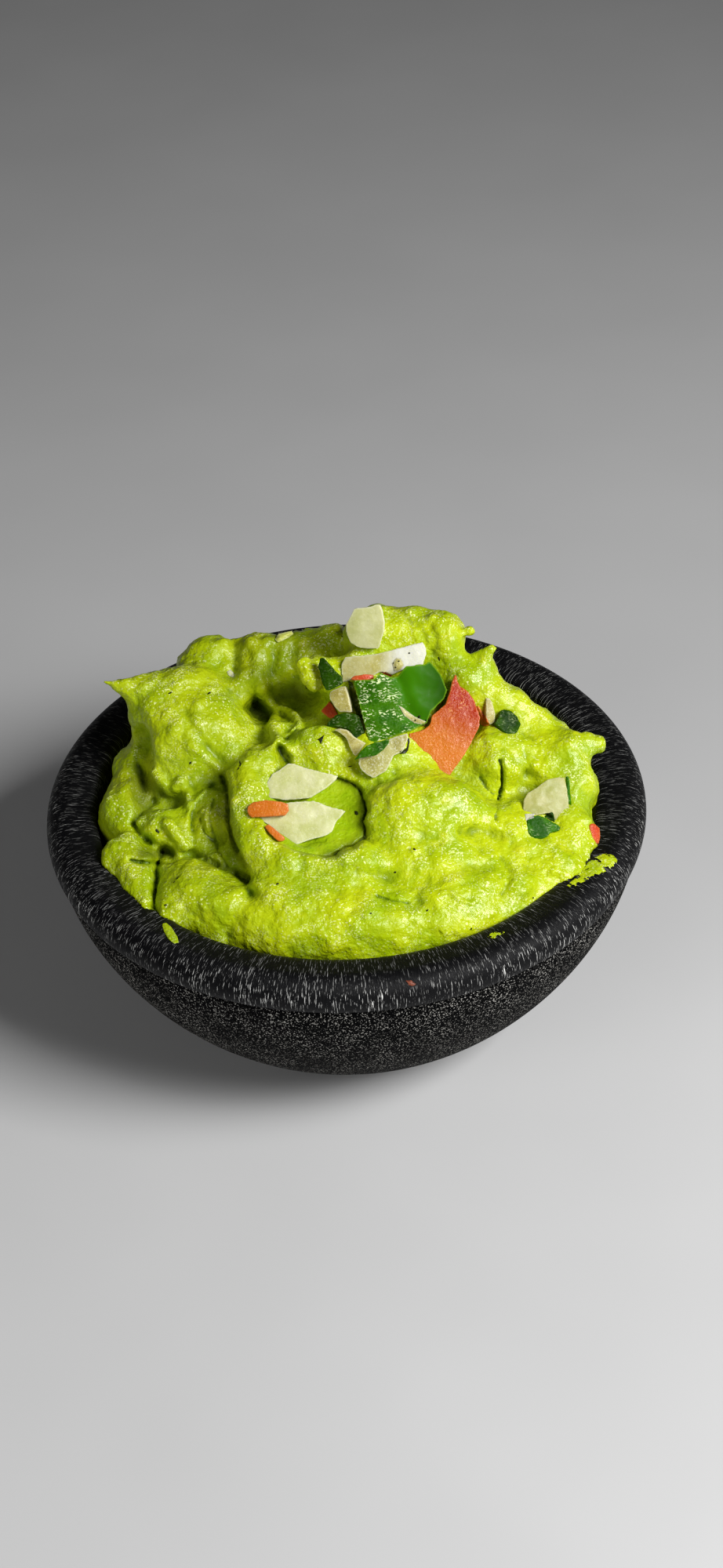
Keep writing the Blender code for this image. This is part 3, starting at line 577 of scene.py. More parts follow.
# rings of the bowl as radius and height in mm, from the foot out, over the rim and down inside
def bowlRings():
    height = rimTop / mm
    groove, grooveHeight = bowl["groove"], height - bowl["grooveDrop"]
    footWidth, footHeight = bowl["footRound"]
    rings = arcPoints((bowl["foot"] - footWidth, footHeight), bowl["footRound"], -90, -20, 3)
    for i in range(1, bowl["bulgeSteps"] + 1):
        down = math.sin(math.radians(90 * (1 - i / bowl["bulgeSteps"])))
        swell = (1 - down ** bowl["bulge"][0]) ** bowl["bulge"][1]
        out = bowl["foot"] + (groove - 0.5 - bowl["foot"]) * swell
        rings.append((out, (grooveHeight - 1.2) * (1 - down)))
    rings = [r for i, r in enumerate(rings) if i < 4 or r[1] > 0.35]
    rings += [(groove - inset, grooveHeight - drop) for inset, drop in bowl["grooveSteps"]]
    shoulder = (rimRadius / mm - bowl["crown"], bowl["shoulder"])
    rings += arcPoints((bowl["crown"], height - bowl["shoulder"]), shoulder, -22, 90, 20)
    rings += arcPoints((bowl["lipMiddle"], height - bowl["lipDrop"]), bowl["lipRadii"], 90, 180, 8)
    top = height - bowl["wallDrop"]
    inward, downward = bowl["wallCurve"]
    for i in range(1, 12):
        around = math.radians(90 * i / 12)
        depth = (top - bowl["floor"]) * math.sin(around) ** downward
        rings.append((bowl["wall"] * math.cos(around) ** inward, top - depth))
    return rings


def makeBowl():
    rings = bowlRings()
    radius, height = rings[0]
    bpy.ops.mesh.primitive_circle_add(
        vertices=bowl["around"], radius=radius * mm, fill_type="TRIFAN", location=(0, 0, height * mm))
    made = bpy.context.active_object
    made.name = "stoneBowl"
    bpy.ops.object.transform_apply(location=True, rotation=True, scale=True)
    bpy.ops.object.mode_set(mode="EDIT")
    bpy.ops.mesh.select_mode(type="EDGE")
    bpy.ops.mesh.select_all(action="SELECT")
    bpy.ops.mesh.region_to_loop()
    for nextRadius, nextHeight in rings[1:]:
        bpy.ops.mesh.extrude_region()
        growth = nextRadius / radius
        bpy.ops.transform.resize(value=(growth, growth, 1), center_override=(0, 0, 0))
        bpy.ops.transform.translate(value=(0, 0, (nextHeight - height) * mm))
        radius, height = nextRadius, nextHeight
    bpy.ops.mesh.edge_face_add()
    bpy.ops.mesh.poke()
    bpy.ops.mesh.select_all(action="SELECT")
    bpy.ops.mesh.normals_make_consistent(inside=False)
    bpy.ops.object.mode_set(mode="OBJECT")
    return made


stoneBowl = makeBowl()
print("bowl turned", len(stoneBowl.data.polygons))

# diced toppings, in mm: how each is set down (middle above the rim and turn), what it wears
# when that is not its kind's plain finish, and the outline of its face
toppings = {
    "pepper_square": {"middle": (11, -2, 22.5), "turn": (52, 0, 0), "thickness": 1.3, "wears": "chilliSquare",
        "outline": [(-5.5, -7.8), (-3, -7.6), (-1.2, -6.7), (3, -5.6), (6.2, -4.2), (7.2, -1.8), (10, 0.6),
        (10.6, 2.5), (9.4, 5.8), (7.8, 7.8), (7.2, 8.4), (6.2, 7.8), (2.4, 7.6), (0.6, 5.6), (-0.7, 5.4),
        (-2.7, 6.5), (-4.3, 5.1), (-8.6, 5.2), (-7.3, -0.6), (-6.4, -4.7)]},
    "tomato_wedge": {"middle": (21, -5, 17.5), "turn": (46, 0, 4), "thickness": 4.2, "wears": "tomatoWedge",
        "outline": [(-8.6, -4.2), (-8.8, -7), (-6.6, -7.9), (-4.2, -8.9), (-2, -10.3), (-1, -10.4), (1.8, -7),
        (4.7, -3.4), (6.8, 0.3), (7.1, 2), (6.3, 5.8), (5.2, 7.5), (3.7, 8.8), (3.3, 9.8), (3, 11.5), (2.2, 10),
        (1.5, 8), (0.3, 5.3), (-2.7, 3.2), (-3.2, 1.5), (-4.5, 0.5), (-7.6, 0), (-8.2, -3)]},
    "onion_peak": {"middle": (6, 11, 32.5), "turn": (60, 0, -6), "thickness": 3, "wears": "onionPeak",
        "outline": [(-3.5, -3.2), (-2.2, -4), (-0.8, -4.4), (2.4, -4.2), (3.3, -1), (3.5, 0.8), (3, 3.6),
        (2.5, 4.7), (1.7, 4.8), (0.6, 4.3), (-2.8, 3.9), (-3.7, 2.1), (-4.4, 0.8), (-4.5, -0.5), (-4.2, -1.9)]},
    "onion_strip": {"middle": (8.5, 6.5, 26.5), "turn": (48, 0, -4), "thickness": 2.6, "wears": "onionYellow",
        "outline": [(-8.1, -3.8), (-6.6, -3.5), (-5.9, -2.8), (-1.7, -2.5), (-0.4, -1.7), (0.9, -1.8),
        (2.2, -2.4), (4.4, -1.2), (8.5, -0.2), (9.2, 2.2), (9, 3.6), (8.4, 4.5), (5.3, 3.7), (1.7, 2.7),
        (-1.1, 2), (-4, 1.7), (-7.5, 1.4), (-8.2, 0.1)]},
    "pepper_leaf_left": {"middle": (-2, 1.5, 28), "turn": (50, 0, -25), "thickness": 1.1, "wears": "chilliDark",
        "outline": [(-1.2, -2.1), (-0.1, -3.4), (0.5, -3.3), (2.6, -1.9), (3.1, -1.3), (2.6, 0.1), (1.1, 0.8),
        (-0.3, 1.8), (-2.2, 3), (-3.1, 2.8), (-2.9, 0.9), (-2.1, -0.2)]},
    "tomato_strip_left": {"middle": (-15.2, -22.6, 13), "turn": (44, 0, -6), "thickness": 2.2,
        "wears": "tomatoOrange",
        "outline": [(-4.4, -0.2), (-4.1, -1.1), (-3.4, -1.8), (0, -1.5), (3.3, -1.2), (4, -0.2), (3.8, 1.1),
        (2.4, 1.6), (-0.8, 1.8), (-3.4, 1.3), (-4.2, 0.5)]},
    "onion_left_upper": {"middle": (-9.6, -14.4, 12.7), "turn": (42, 8, 0), "thickness": 2.4,
        "outline": [(-6.4, -3.2), (-2, -3.6), (3, -2.8), (6, -0.5), (8, 1.4), (8.2, 2.2), (5.9, 2.6),
        (2.3, 3.2), (-1.2, 4.1), (-2.1, 4), (-3.6, 2.6), (-5.1, 1.6), (-6.4, -0.8), (-6.8, -1.9)]},
    "onion_left_lower": {"middle": (-11.8, -22.1, 10.3), "turn": (43, 9, 0), "thickness": 2.2,
        "outline": [(-6.8, -0.5), (-4.2, -1.4), (-2.4, -2.7), (-1.1, -3.9), (0.2, -4.3), (1.6, -5.7),
        (2.6, -5.2), (5, -4.2), (8.1, -3.1), (9.3, -2.2), (10.1, -0.1), (11.8, 2.3), (7.5, 3.1), (5.3, 3.8),
        (0.6, 3.2), (-1.9, 2.3), (-6.4, 0.3)]},
    "pepper_curl": {"middle": (5.5, -11.5, 18.5), "turn": (55, 0, -10), "thickness": 1,
        "outline": [(-3.4, -2.6), (-1.8, -1.9), (1.2, -1.2), (2.7, 0), (3.6, 1.4), (3.6, 2.3), (0.6, 1.3),
        (-0.7, 0.8), (-1.9, -0.5), (-2.8, -1.8)]},
    "pepper_fold_left": {"middle": (1.5, -3, 18.5), "turn": (50, 0, -15), "thickness": 1.2,
        "wears": "chilliDark",
        "outline": [(-4.8, -0.3), (-4.6, -1), (-2, -0.8), (0.4, -1.2), (0.5, -2), (1.4, -2.9), (3.9, -3.3),
        (4.1, -2.6), (3.4, -1.4), (1.9, 2), (0.5, 2.3), (-1.6, 2.2), (-3.1, 1.6), (-4, 0.5)]},
    "onion_under_pepper": {"middle": (8, -11, 16), "turn": (50, 0, 5), "thickness": 2.2, "wears": "onionGrainy",
        "outline": [(-5.1, -1.1), (-4.7, -2.2), (-3.8, -3.2), (-2.3, -4.2), (0.3, -2.9), (1.2, -1.5), (2.1, 0),
        (3.7, 0.6), (4.6, 1.5), (5.4, 3.2), (5.5, 4.4), (1.5, 3.5), (-0.3, 1.6), (-2.1, 0.6), (-5, 0.2)]},
    "onion_chip_left": {"middle": (0.5, 1, 22), "turn": (50, 0, -20), "thickness": 2.2, "wears": "onionBrown",
        "outline": [(-3, -0.3), (-1.4, -2.1), (-0.4, -2.7), (2.3, -2.4), (1.2, 0.4), (-0.1, 2.7), (-0.8, 2.5),
        (-2.5, 1.5), (-3.2, 0.9)]},
    "tomato_chip_left": {"middle": (-2.5, 3.5, 17.5), "turn": (50, 0, -20), "thickness": 1.6,
        "outline": [(-1.9, -0.5), (0.3, -1.7), (0.9, -1.5), (1.9, -0.6), (1, 0.6), (-0.4, 1.9), (-1, 0.8)]},
    "tomato_chip_top": {"middle": (4.5, 3, 26), "turn": (50, 0, 0), "thickness": 1.4,
        "outline": [(-2.6, -0.5), (-1.8, 0.2), (0.4, 0.5), (2.3, 0.3), (2.4, -0.5), (-0.1, -1)]},
    "onion_chip_low": {"middle": (1.5, -7, 17), "turn": (50, 0, -15), "thickness": 1.9, "wears": "onionBrown",
        "outline": [(-3.9, 2.1), (-2.5, 1.7), (-1, 0.8), (0, -0.9), (1, -2.4), (1.6, -2.7), (2.6, -0.9),
        (3.2, 0.2), (0.6, 1.2), (-0.9, 2.4), (-2.6, 2.6)]},
    "onion_sliver_right": {"middle": (30, 1, 18), "turn": (50, 0, 20), "thickness": 1.4, "wears": "onionBrown",
        "outline": [(-1.3, -2.6), (-0.4, -3.3), (0.5, -2.9), (1, -1.3), (1.1, 0.2), (0.8, 2), (0.1, 2.5),
        (-0.5, 1), (-1, -0.8)]},
    "pepper_right": {"middle": (39, -23, 5), "turn": (45, 0, 14), "thickness": 1.1,
        "outline": [(-2.7, 0.7), (-2.6, -0.6), (-1.7, -1.3), (-0.3, -1.7), (1, -1.5), (1.5, -0.9), (3.6, -0.8),
        (4.1, -0.2), (3.5, 0.5), (1.4, 2.4), (0, 3.2), (-1.5, 3), (-2.6, 2.5)]},
    "onion_right": {"middle": (41, -17, 7.5), "turn": (45, 0, 14), "thickness": 2.8, "wears": "onionRight",
        "outline": [(-5.5, -2.8), (-4.4, -2.6), (-2.8, -2.2), (-0.5, -2.2), (0.3, -4), (1.2, -5.8), (2.4, -6.1),
        (3.1, -5.1), (3.8, -2.3), (4.2, 1.6), (4.3, 4.3), (2.3, 4.5), (0.8, 4.5), (-0.4, 4), (-2.1, 3.2),
        (-4, 2.6), (-5, 1.4), (-5.6, -0.5)]},
    "pepper_right_back": {"middle": (33.5, -1.5, 16), "turn": (45, 0, 25), "thickness": 1.6,
        "wears": "chilliDark",
        "outline": [(-2.5, 0.7), (-1.4, -1.5), (-0.8, -2.7), (0.9, -2.7), (1.8, -2.2), (2.9, -1.2), (2.8, 0.6),
        (1.8, 2.3), (0.5, 3), (-0.3, 2.9), (-1, 2)]},
    "tomato_chip_low": {"middle": (-13.7, -26.1, 9.6), "turn": (52, 0, 0), "thickness": 1.3,
        "wears": "tomatoOrange",
        "outline": [(-2.5, 1.5), (-1.4, -0.1), (-0.3, -1.2), (0.4, -1.7), (1.5, -1.5), (1.5, -0.9), (0.5, 0),
        (-0.6, 1.1), (-1.7, 1.9)]},
    "tomato_rim": {"middle": (49.5, -21.5, 2.5), "turn": (55, 0, 40), "thickness": 1.2,
        "outline": [(-0.5, 1), (-0.8, -0.8), (-0.4, -2.3), (0.4, -2.5), (1.4, -1.2), (2, 0.2), (1.2, 1.7),
        (0.1, 2)]},
}
sliceUneven = (2.2, 0.22)


# a slice is cut from its outline, thickened, welded into an even skin and softened;
# it keeps where each point lies on its face, and how far from the cut edge
def cutSlice(name, look, grain=0.22, rounds=3):
    outline = look["outline"]
    bpy.ops.mesh.primitive_circle_add(vertices=len(outline), radius=mm, fill_type="NGON")
    made = bpy.context.active_object
    made.name = made.data.name = name
    for vert, (x, y) in zip(made.data.vertices, outline):
        vert.co = (x * mm, y * mm, 0)
    middle = [sum(p[axis] for p in outline) / len(outline) * mm for axis in (0, 1)]
    bpy.ops.object.mode_set(mode="EDIT")
    bpy.ops.mesh.select_all(action="SELECT")
    bpy.ops.mesh.extrude_region_move(TRANSFORM_OT_translate={"value": (0, 0, -look["thickness"] * mm)})
    bpy.ops.transform.resize(value=(0.92, 0.92, 1), center_override=(*middle, 0))
    bpy.ops.mesh.select_all(action="SELECT")
    bpy.ops.mesh.quads_convert_to_tris()
    bpy.ops.mesh.normals_make_consistent(inside=False)
    bpy.ops.object.mode_set(mode="OBJECT")
    weld(made, grain)
    applyModifier(made, "SMOOTH", iterations=rounds)
    places = [v.co / mm for v in made.data.vertices]
    storeValues(made, "slicePlace", [part for place in places for part in place], "FLOAT_VECTOR")
    storeValues(made, "cutEdge", [insideBy(place.x, place.y, outline) for place in places])
    return made


# how far the square of skin swells and folds, in mm, at a place on it in mm
def pepperSquareShape(x, y):
    fold = 1.1 * math.exp(-((x - 1.5 + 0.35 * (y - 2)) / 1.6) ** 2)
    right, left = max(0, x - 3), max(0, -x - 3)
    ripple = 0.25 * math.sin(0.9 * y + 0.4 * x)
    return 0.6 - fold * 0.6 - 0.045 * right * right - 0.05 * left ** 2 + ripple


# gives a slice its own shape, or the slight crown of a plain one
def bend(obj, look, shape):
    reach = max(math.hypot(x, y) for x, y in look["outline"])
    for vert in obj.data.vertices:
        x, y = vert.co.x / mm, vert.co.y / mm
        lift = shape(x, y) if shape else 0.5 * (1 - (x * x + y * y) / (reach * reach))
        vert.co.z += lift * mm


def setDown(obj, look):
    obj.data.transform(Matrix.Translation(aboveRim(*look["middle"])) @ turned(look["turn"]))


slices = {}
for name, look in toppings.items():
    piece = cutSlice(name + "_slice", look)
    bend(piece, look, pepperSquareShape if name == "pepper_square" else None)
    roughen(piece, name + "Uneven", *sliceUneven)
    setDown(piece, look)
    smoothShade(piece)
    slices[name] = piece
print("toppings cut", sum(len(s.data.polygons) for s in slices.values()))


# small scraps, skins, herbs and smears, drawn on the face of the heap and laid over what is under them
scraps = {
    "onionCrumb": {"wears": "onion", "thickness": 0.7,
        "outline": [(-23.8, 25.2), (-23.1, 25.7), (-22.5, 25.1), (-22.2, 23.8), (-22.9, 24), (-23.7, 24.4)]},
    "ridgeScrap": {"wears": "onionGreen", "thickness": 1.2, "drop": 1,
        "outline": [(-13.6, 31.6), (-12.8, 32.8), (-11.6, 33), (-9.9, 33.3), (-9.5, 32.6), (-10.5, 31.9),
        (-11.9, 31.2), (-12.9, 30.8)]},
    "onionBrownEnd": {"wears": "onionBrown", "thickness": 0.6,
        "outline": [(10.6, 24.8), (11.4, 26), (12.6, 25.8), (13.1, 24.4), (12.3, 23.2), (11, 23.2)]},
    "fibreStrip": {"wears": "onionBrown", "thickness": 0.45,
        "outline": [(11.4, 16.3), (12.4, 15.7), (14.9, 13.7), (17.3, 12.6), (17, 11.7), (14.5, 12.4),
        (12.6, 14)]},
    "onionCorner": {"wears": "onionWhite", "thickness": 0.5, "drop": 3,
        "outline": [(35.8, -6.7), (38.2, -6.7), (37.6, -7.6), (35.9, -8.2)]},
    "tomatoSkinLine": {"wears": "tomato", "thickness": 0.5,
        "outline": [(8, 22.9), (9.3, 23.3), (10.6, 22.5), (10.4, 22.1), (8.9, 22.7)]},
    "wedgeCorner": {"wears": "tomatoOrange", "thickness": 0.9,
        "outline": [(27.5, 15.9), (28.3, 15.1), (29.4, 13.1), (30.3, 11.4), (29.1, 11.3), (28.2, 11.6),
        (28, 13.6)]},
    "chilliTip": {"wears": "chilliDark", "thickness": 0.5,
        "outline": [(39.8, -7.5), (40.8, -6.7), (41.6, -6.6), (41.9, -7.3), (42, -8.7), (41.2, -8.5),
        (40.5, -8)]},
    "chilliSliver": {"wears": "chilli", "thickness": 0.6,
        "outline": [(44.8, 0.5), (45.5, 0.5), (45.5, -2), (45.6, -5.6), (45, -5.2), (44.7, -2.7)]},
    "oliveSkin": {"wears": "chilliOlive", "thickness": 0.5,
        "outline": [(1.4, 21.9), (2.4, 21.3), (3.4, 18.1), (4.2, 14), (3.2, 13.8), (2.1, 17.4)]},
    "herbFlake": {"wears": "chilliHerb", "thickness": 0.3,
        "outline": [(-5.5, 9.9), (-4.6, 10.3), (-3.7, 10.9), (-4.1, 9.5), (-4.5, 8.9), (-4.9, 9.7)]},
    "wetCurl": {"wears": "chilliHerb", "thickness": 0.35,
        "outline": [(13, 9.5), (13.5, 9.6), (13.5, 8.3), (13.2, 7), (12.5, 6.2), (11.4, 6.2), (11.2, 6.8),
        (12, 7.1), (12.7, 7.4), (13, 8.4)]},
    "rimSmearRight": {"wears": "mashSmear", "thickness": 0.5,
        "outline": [(43.1, -21.2), (45.4, -19.4), (47.1, -18), (48.4, -16.4), (50.6, -15.6), (52.3, -15.2),
        (53.7, -15.9), (54.3, -17.1), (53.7, -18.1), (51.8, -18.8), (50.1, -19.3), (47.6, -20.3), (45.7, -21.1),
        (44, -21.8)]},
    "rimSmearFront": {"wears": "mashSmear", "thickness": 0.4,
        "outline": [(26.4, -30), (27.2, -29.4), (28.3, -29), (30.3, -29.2), (29.6, -29.9), (27.8, -30.5)]},
    "rimBlobLeft": {"wears": "mash", "thickness": 1,
        "outline": [(-36.9, -25.1), (-36.1, -25), (-35, -25.9), (-33.7, -27.7), (-33.3, -28.8), (-34.3, -29),
        (-35.5, -28), (-36.5, -26.6)]},
    "rimSpeckRed": {"wears": "tomatoStain", "thickness": 0.25,
        "outline": [(10.2, -37.2), (11.4, -37.2), (12.3, -38), (11.6, -38.5), (10.8, -38.2)]},
}
scrapLook = {"swell": 0.55, "proud": 0.3, "edge": 0.9, "uneven": (1.2, 0.15), "drop": 12}
# pepper and herb specks: place on the face, length, width and turn
specks = [
    (-35.2, 20.9, 0.9, 0.32, 20), (-27.2, 20.6, 0.9, 0.4, 30), (-31.4, 6.3, 0.7, 0.35, 60),
    (-20.9, 6, 0.7, 0.3, 100), (-20.8, 5.4, 0.8, 0.3, 75), (-21.2, 4.7, 0.7, 0.3, 50),
    (-38.3, -7.2, 0.8, 0.5, 130), (-38, -7.5, 0.5, 0.3, 90), (-33.8, -16.5, 0.8, 0.25, 35),
    (-34.5, -17.3, 0.5, 0.2, 35), (-36.2, -21.7, 0.7, 0.3, 0), (-13.9, -18.3, 0.6, 0.35, 20),
    (2.1, -5.2, 0.9, 0.7, 130), (20.3, 25.5, 0.8, 0.3, 110), (14.2, 26.8, 0.4, 0.35, 0),
    (13.3, -12.7, 0.6, 0.4, 160), (9.3, -17.1, 0.5, 0.35, 0), (15.2, -24.6, 0.5, 0.35, 30),
    (4.2, -24.6, 0.4, 0.3, 0), (23.7, -28.6, 0.5, 0.3, 60), (36.4, -23.3, 0.4, 0.3, 0),
    (15.6, 13.7, 0.7, 0.5, 40), (14.8, 13, 0.4, 0.3, 0), (17, 12.9, 0.4, 0.35, 0), (12, 25.2, 0.45, 0.3, 20),
    (11.3, 24, 0.35, 0.3, 0), (1.2, 4.2, 0.9, 0.25, 10), (-7.2, 20.9, 0.4, 0.35, 0), (0.6, 31.6, 0.3, 0.25, 0),
    (10.9, 24.9, 0.3, 0.25, 0),
]
speckLook = {"seed": 11, "thick": 0.14, "lift": 0.05}


# lays a piece drawn on the face over the surface below it, each point at its own height,
# though none falls more than drop below the highest
def drape(obj, tree, lift=0.0, drop=scrapLook["drop"]):
    under = [outAt(tree, vert.co.x / mm, vert.co.y / mm) for vert in obj.data.vertices]
    lowest = max(under) - drop
    for vert, out in zip(obj.data.vertices, under):
        x, up, thick = vert.co / mm
        vert.co = fromFace(x, up, max(out, lowest) + thick + lift)


# a scrap stands a little proud of what is under it, and rounds off towards its edge
def makeScrap(name, look, tree):
    piece = cutSlice(name, look, grain=0.18, rounds=2)
    for vert in piece.data.vertices:
        swell = soften(insideBy(vert.co.x / mm, vert.co.y / mm, look["outline"]) / scrapLook["edge"])
        vert.co.z += (scrapLook["swell"] * swell + scrapLook["proud"]) * look["thickness"] * mm
    drape(piece, tree, drop=look.get("drop", scrapLook["drop"]))
    applyModifier(piece, "SMOOTH", iterations=3)
    roughen(piece, name + "Uneven", *scrapLook["uneven"])
    smoothShade(piece)
    return piece


def makeSpecks(tree):
    ball = unitBall(2)
    made = []
    chance = random.Random(speckLook["seed"])
    for x, up, length, width, turn in specks:
        speck = addCopy(ball, "speck")
        for vert in speck.data.vertices:
            vert.co *= chance.uniform(0.75, 1.2)
        stretch = Matrix.Diagonal((length / 2 * mm, width / 2 * mm, speckLook["thick"] * mm, 1))
        speck.data.transform(Matrix.Translation((x * mm, up * mm, 0)) @ turned((0, 0, turn)) @ stretch)
        drape(speck, tree, speckLook["lift"])
        made.append(speck)
    return joinAll(made, "herbSpecks")


layers = surfaceOf(heap, stoneBowl, *slices.values())
smallPieces = {name: makeScrap(name, look, layers) for name, look in scraps.items()}
layers = surfaceOf(heap, stoneBowl, *slices.values(), *smallPieces.values())
herbSpecks = makeSpecks(layers)
smoothShade(herbSpecks, 60)
print("scraps laid", sum(len(s.data.polygons) for s in smallPieces.values()))


# a socket takes a link from another socket, or a value
def feed(tree, socket, value):
    if isinstance(value, bpy.types.NodeSocket):
        tree.links.new(value, socket)
    elif socket.type == "RGBA":
        socket.default_value = (*value, 1)
    else:
        socket.default_value = value


def addNode(tree, kind, values=None, **settings):
    node = tree.nodes.new("ShaderNode" + kind)
    for key, value in settings.items():
        setattr(node, key, value)
    for key, value in (values or {}).items():
        feed(tree, node.inputs[key], value)
    return node


# shared effect: patches of uneven tone or height, size in mm,
# from 0 where the noise is low to 1 where it is high
def makePatches():
    group = bpy.data.node_groups.new("patches", "ShaderNodeTree")
    group.interface.new_socket("Place", in_out="INPUT", socket_type="NodeSocketVector")
    for label, start in (("Size", 1.0), ("Detail", 2.0), ("Roughness", 0.5), ("Low", 0.0), ("High", 1.0)):
        socket = group.interface.new_socket(label, in_out="INPUT", socket_type="NodeSocketFloat")
        socket.default_value = start
    group.interface.new_socket("Mask", in_out="OUTPUT", socket_type="NodeSocketFloat")
    given = group.nodes.new("NodeGroupInput").outputs
    result = group.nodes.new("NodeGroupOutput")
    scale = combine(group, "DIVIDE", 1 / mm, given["Size"])
    noise = addNode(group, "TexNoise", {"Vector": given["Place"], "Scale": scale, "Detail": given["Detail"],
                                        "Roughness": given["Roughness"]})
    group.links.new(between(group, noise.outputs["Fac"], given["Low"], given["High"]), result.inputs["Mask"])
    return group


def patches(tree, place, size, low=0.0, high=1.0, detail=2.0, roughness=0.5):
    node = tree.nodes.new("ShaderNodeGroup")
    node.node_tree = patchesGroup
    labels = ("Place", "Size", "Low", "High", "Detail", "Roughness")
    for label, value in zip(labels, (place, size, low, high, detail, roughness)):
        feed(tree, node.inputs[label], value)
    return node.outputs["Mask"]


def newMaterial(name):
    material = bpy.data.materials.new(name)
    material.use_nodes = True
    tree = material.node_tree
    return material, tree, tree.nodes["Principled BSDF"], addNode(tree, "TexCoord").outputs["Object"]


def stored(tree, name, output="Fac"):
    return addNode(tree, "Attribute", attribute_name=name).outputs[output]


def axis(tree, place, name):
    return addNode(tree, "SeparateXYZ", {0: place}).outputs[name]


def dot(tree, vector, direction):
    return addNode(tree, "VectorMath", {0: vector, 1: direction}, operation="DOT_PRODUCT").outputs["Value"]


# remaps a value so that low becomes toLow and high becomes toHigh
def between(tree, value, low, high, toLow=0.0, toHigh=1.0):
    values = {"Value": value, "From Min": low, "From Max": high, "To Min": toLow, "To Max": toHigh}
    return addNode(tree, "MapRange", values).outputs["Result"]


def combine(tree, operation, one, other):
    return addNode(tree, "Math", {0: one, 1: other}, operation=operation).outputs[0]


def times(tree, first, *others):
    for other in others:
        first = combine(tree, "MULTIPLY", first, other)
    return first


def blend(tree, share, one, other):
    node = addNode(tree, "Mix", data_type="RGBA")
    for label, kind, value in (("Factor", "VALUE", share), ("A", "RGBA", one), ("B", "RGBA", other)):
        feed(tree, [s for s in node.inputs if s.name == label and s.type == kind][0], value)
    return [s for s in node.outputs if s.type == "RGBA"][0]


def bump(tree, shader, height, depth, strength=1.0, **below):
    node = addNode(tree, "Bump", {"Strength": strength, "Distance": depth * mm, "Height": height, **below})
    tree.links.new(node.outputs["Normal"], shader.inputs["Normal"])
    return node.outputs["Normal"]


def finish(tree, shader, colour, rough, constants):
    tree.links.new(colour, shader.inputs["Base Color"])
    tree.links.new(rough, shader.inputs["Roughness"])
    for key, value in constants.items():
        shader.inputs[key].default_value = value


patchesGroup = makePatches()
mashLook = {
    "ripe": (0.48, 0.57, 0.004), "green": (0.31, 0.44, 0.002), "yellow": (0.53, 0.57, 0.008),
    # crease is painted shade for the folds, and shade is painted shadow for hollows and under overhangs
    "left": (0.27, 0.36, 0.002), "deep": (0.25, 0.41, 0.002), "crease": (0.06, 0.12, 0.001),
    "shade": (0.012, 0.018, 0.001), "glint": (0.86, 0.90, 0.42), "glintSide": (0.35, -0.45, 0.82),
}


def makeMash(name, lacy=False):
    material, tree, shader, place = newMaterial(name)
    calm = stored(tree, "calm")
    colour = blend(tree, patches(tree, place, 9, 0.40, 0.62, 3), mashLook["ripe"], mashLook["green"])
    colour = blend(tree, patches(tree, place, 5, 0.60, 0.80, 3), colour, mashLook["yellow"])
    # the left of the heap is greener, and painted darker as shade on the side away from the light
    shadedLeftward = between(tree, axis(tree, place, "X"), 5 * mm, -30 * mm, 0, 0.4)
    colour = blend(tree, shadedLeftward, colour, mashLook["left"])
    # wet glints are small dots, dense in clusters and sparse between them;
    # most are on what faces up and out, few in creases and on the calm floors of scoops
    dense = times(tree, patches(tree, place, 0.36, 0.55, 0.63, 1), patches(tree, place, 4, 0.50, 0.62, 3))
    sparse = times(tree, patches(tree, place, 0.46, 0.67, 0.72, 0), patches(tree, place, 7, 0.40, 0.55))
    lively = between(tree, calm, 0, 1, 1, 0.1)
    facing = dot(tree, addNode(tree, "TexCoord").outputs["Normal"], mashLook["glintSide"])
    facing = between(tree, facing, 0.35, 0.85, 0.1, 1)
    uncreased = between(tree, stored(tree, "deepCrease"), 0.4, -0.3, 0.15, 1)
    glints = times(tree, combine(tree, "MAXIMUM", dense, sparse), lively, facing, uncreased, 0.8)
    colour = blend(tree, glints, colour, mashLook["glint"])
    flesh = blend(tree, patches(tree, place, 2.2, 0.35, 0.65, 3), mashLook["deep"], mashLook["green"])
    colour = blend(tree, times(tree, calm, 0.75), colour, flesh)
    # creases are painted darker: painted shade in the folds
    for crease, low, high, most in (("deepCrease", 0.15, 1.4, 0.85), ("fineCrease", 0.04, 0.32, 0.55)):
        colour = blend(tree, between(tree, stored(tree, crease), low, high, 0, most), colour, mashLook["crease"])
    shade = stored(tree, "shade")
    colour = blend(tree, shade, colour, mashLook["shade"])
    # what is shaded is dull too
    rough = between(tree, patches(tree, place, 2.2, 0.35, 0.65, 3), 0, 1, 0.26, 0.5)
    finish(tree, shader, colour, combine(tree, "MAXIMUM", rough, shade), {
        "Subsurface Weight": 0.12, "Subsurface Radius": (1.0, 1.0, 0.2), "Subsurface Scale": 0.0008,
        "IOR": 1.4, "Specular IOR Level": 0.4, "Coat Weight": 0.12, "Coat Roughness": 0.12})
    soft = bump(tree, shader, patches(tree, place, 1.7), 0.6, 0.8)
    bump(tree, shader, patches(tree, place, 0.6), 0.2, 0.9, Normal=soft)
    if lacy:
        edge = between(tree, stored(tree, "cutEdge"), 0, 1.2, -0.1, 0.1)
        froth = combine(tree, "ADD", patches(tree, place, 1.3), edge)
        tree.links.new(between(tree, froth, 0.42, 0.47), shader.inputs["Alpha"])
    return material


stoneLook = {
    "rim": {"pale": (0.74, 0.74, 0.71), "dark": (0.0015, 0.0015, 0.002), "low": 0.61, "high": 0.68,
            "rough": (0.45, 0.7), "depth": 0.16, "shine": 0.17},
    "body": {"pale": (0.38, 0.37, 0.34), "dark": (0.0006, 0.0006, 0.0008), "low": 0.59, "high": 0.66,
             "rough": (0.8, 0.95), "depth": 0.35, "shine": 0.05},
    "streakRadius": 60, "streakWidth": 0.15, "streakLength": 2.4, "shoulderSheenDrop": 2.5,
}


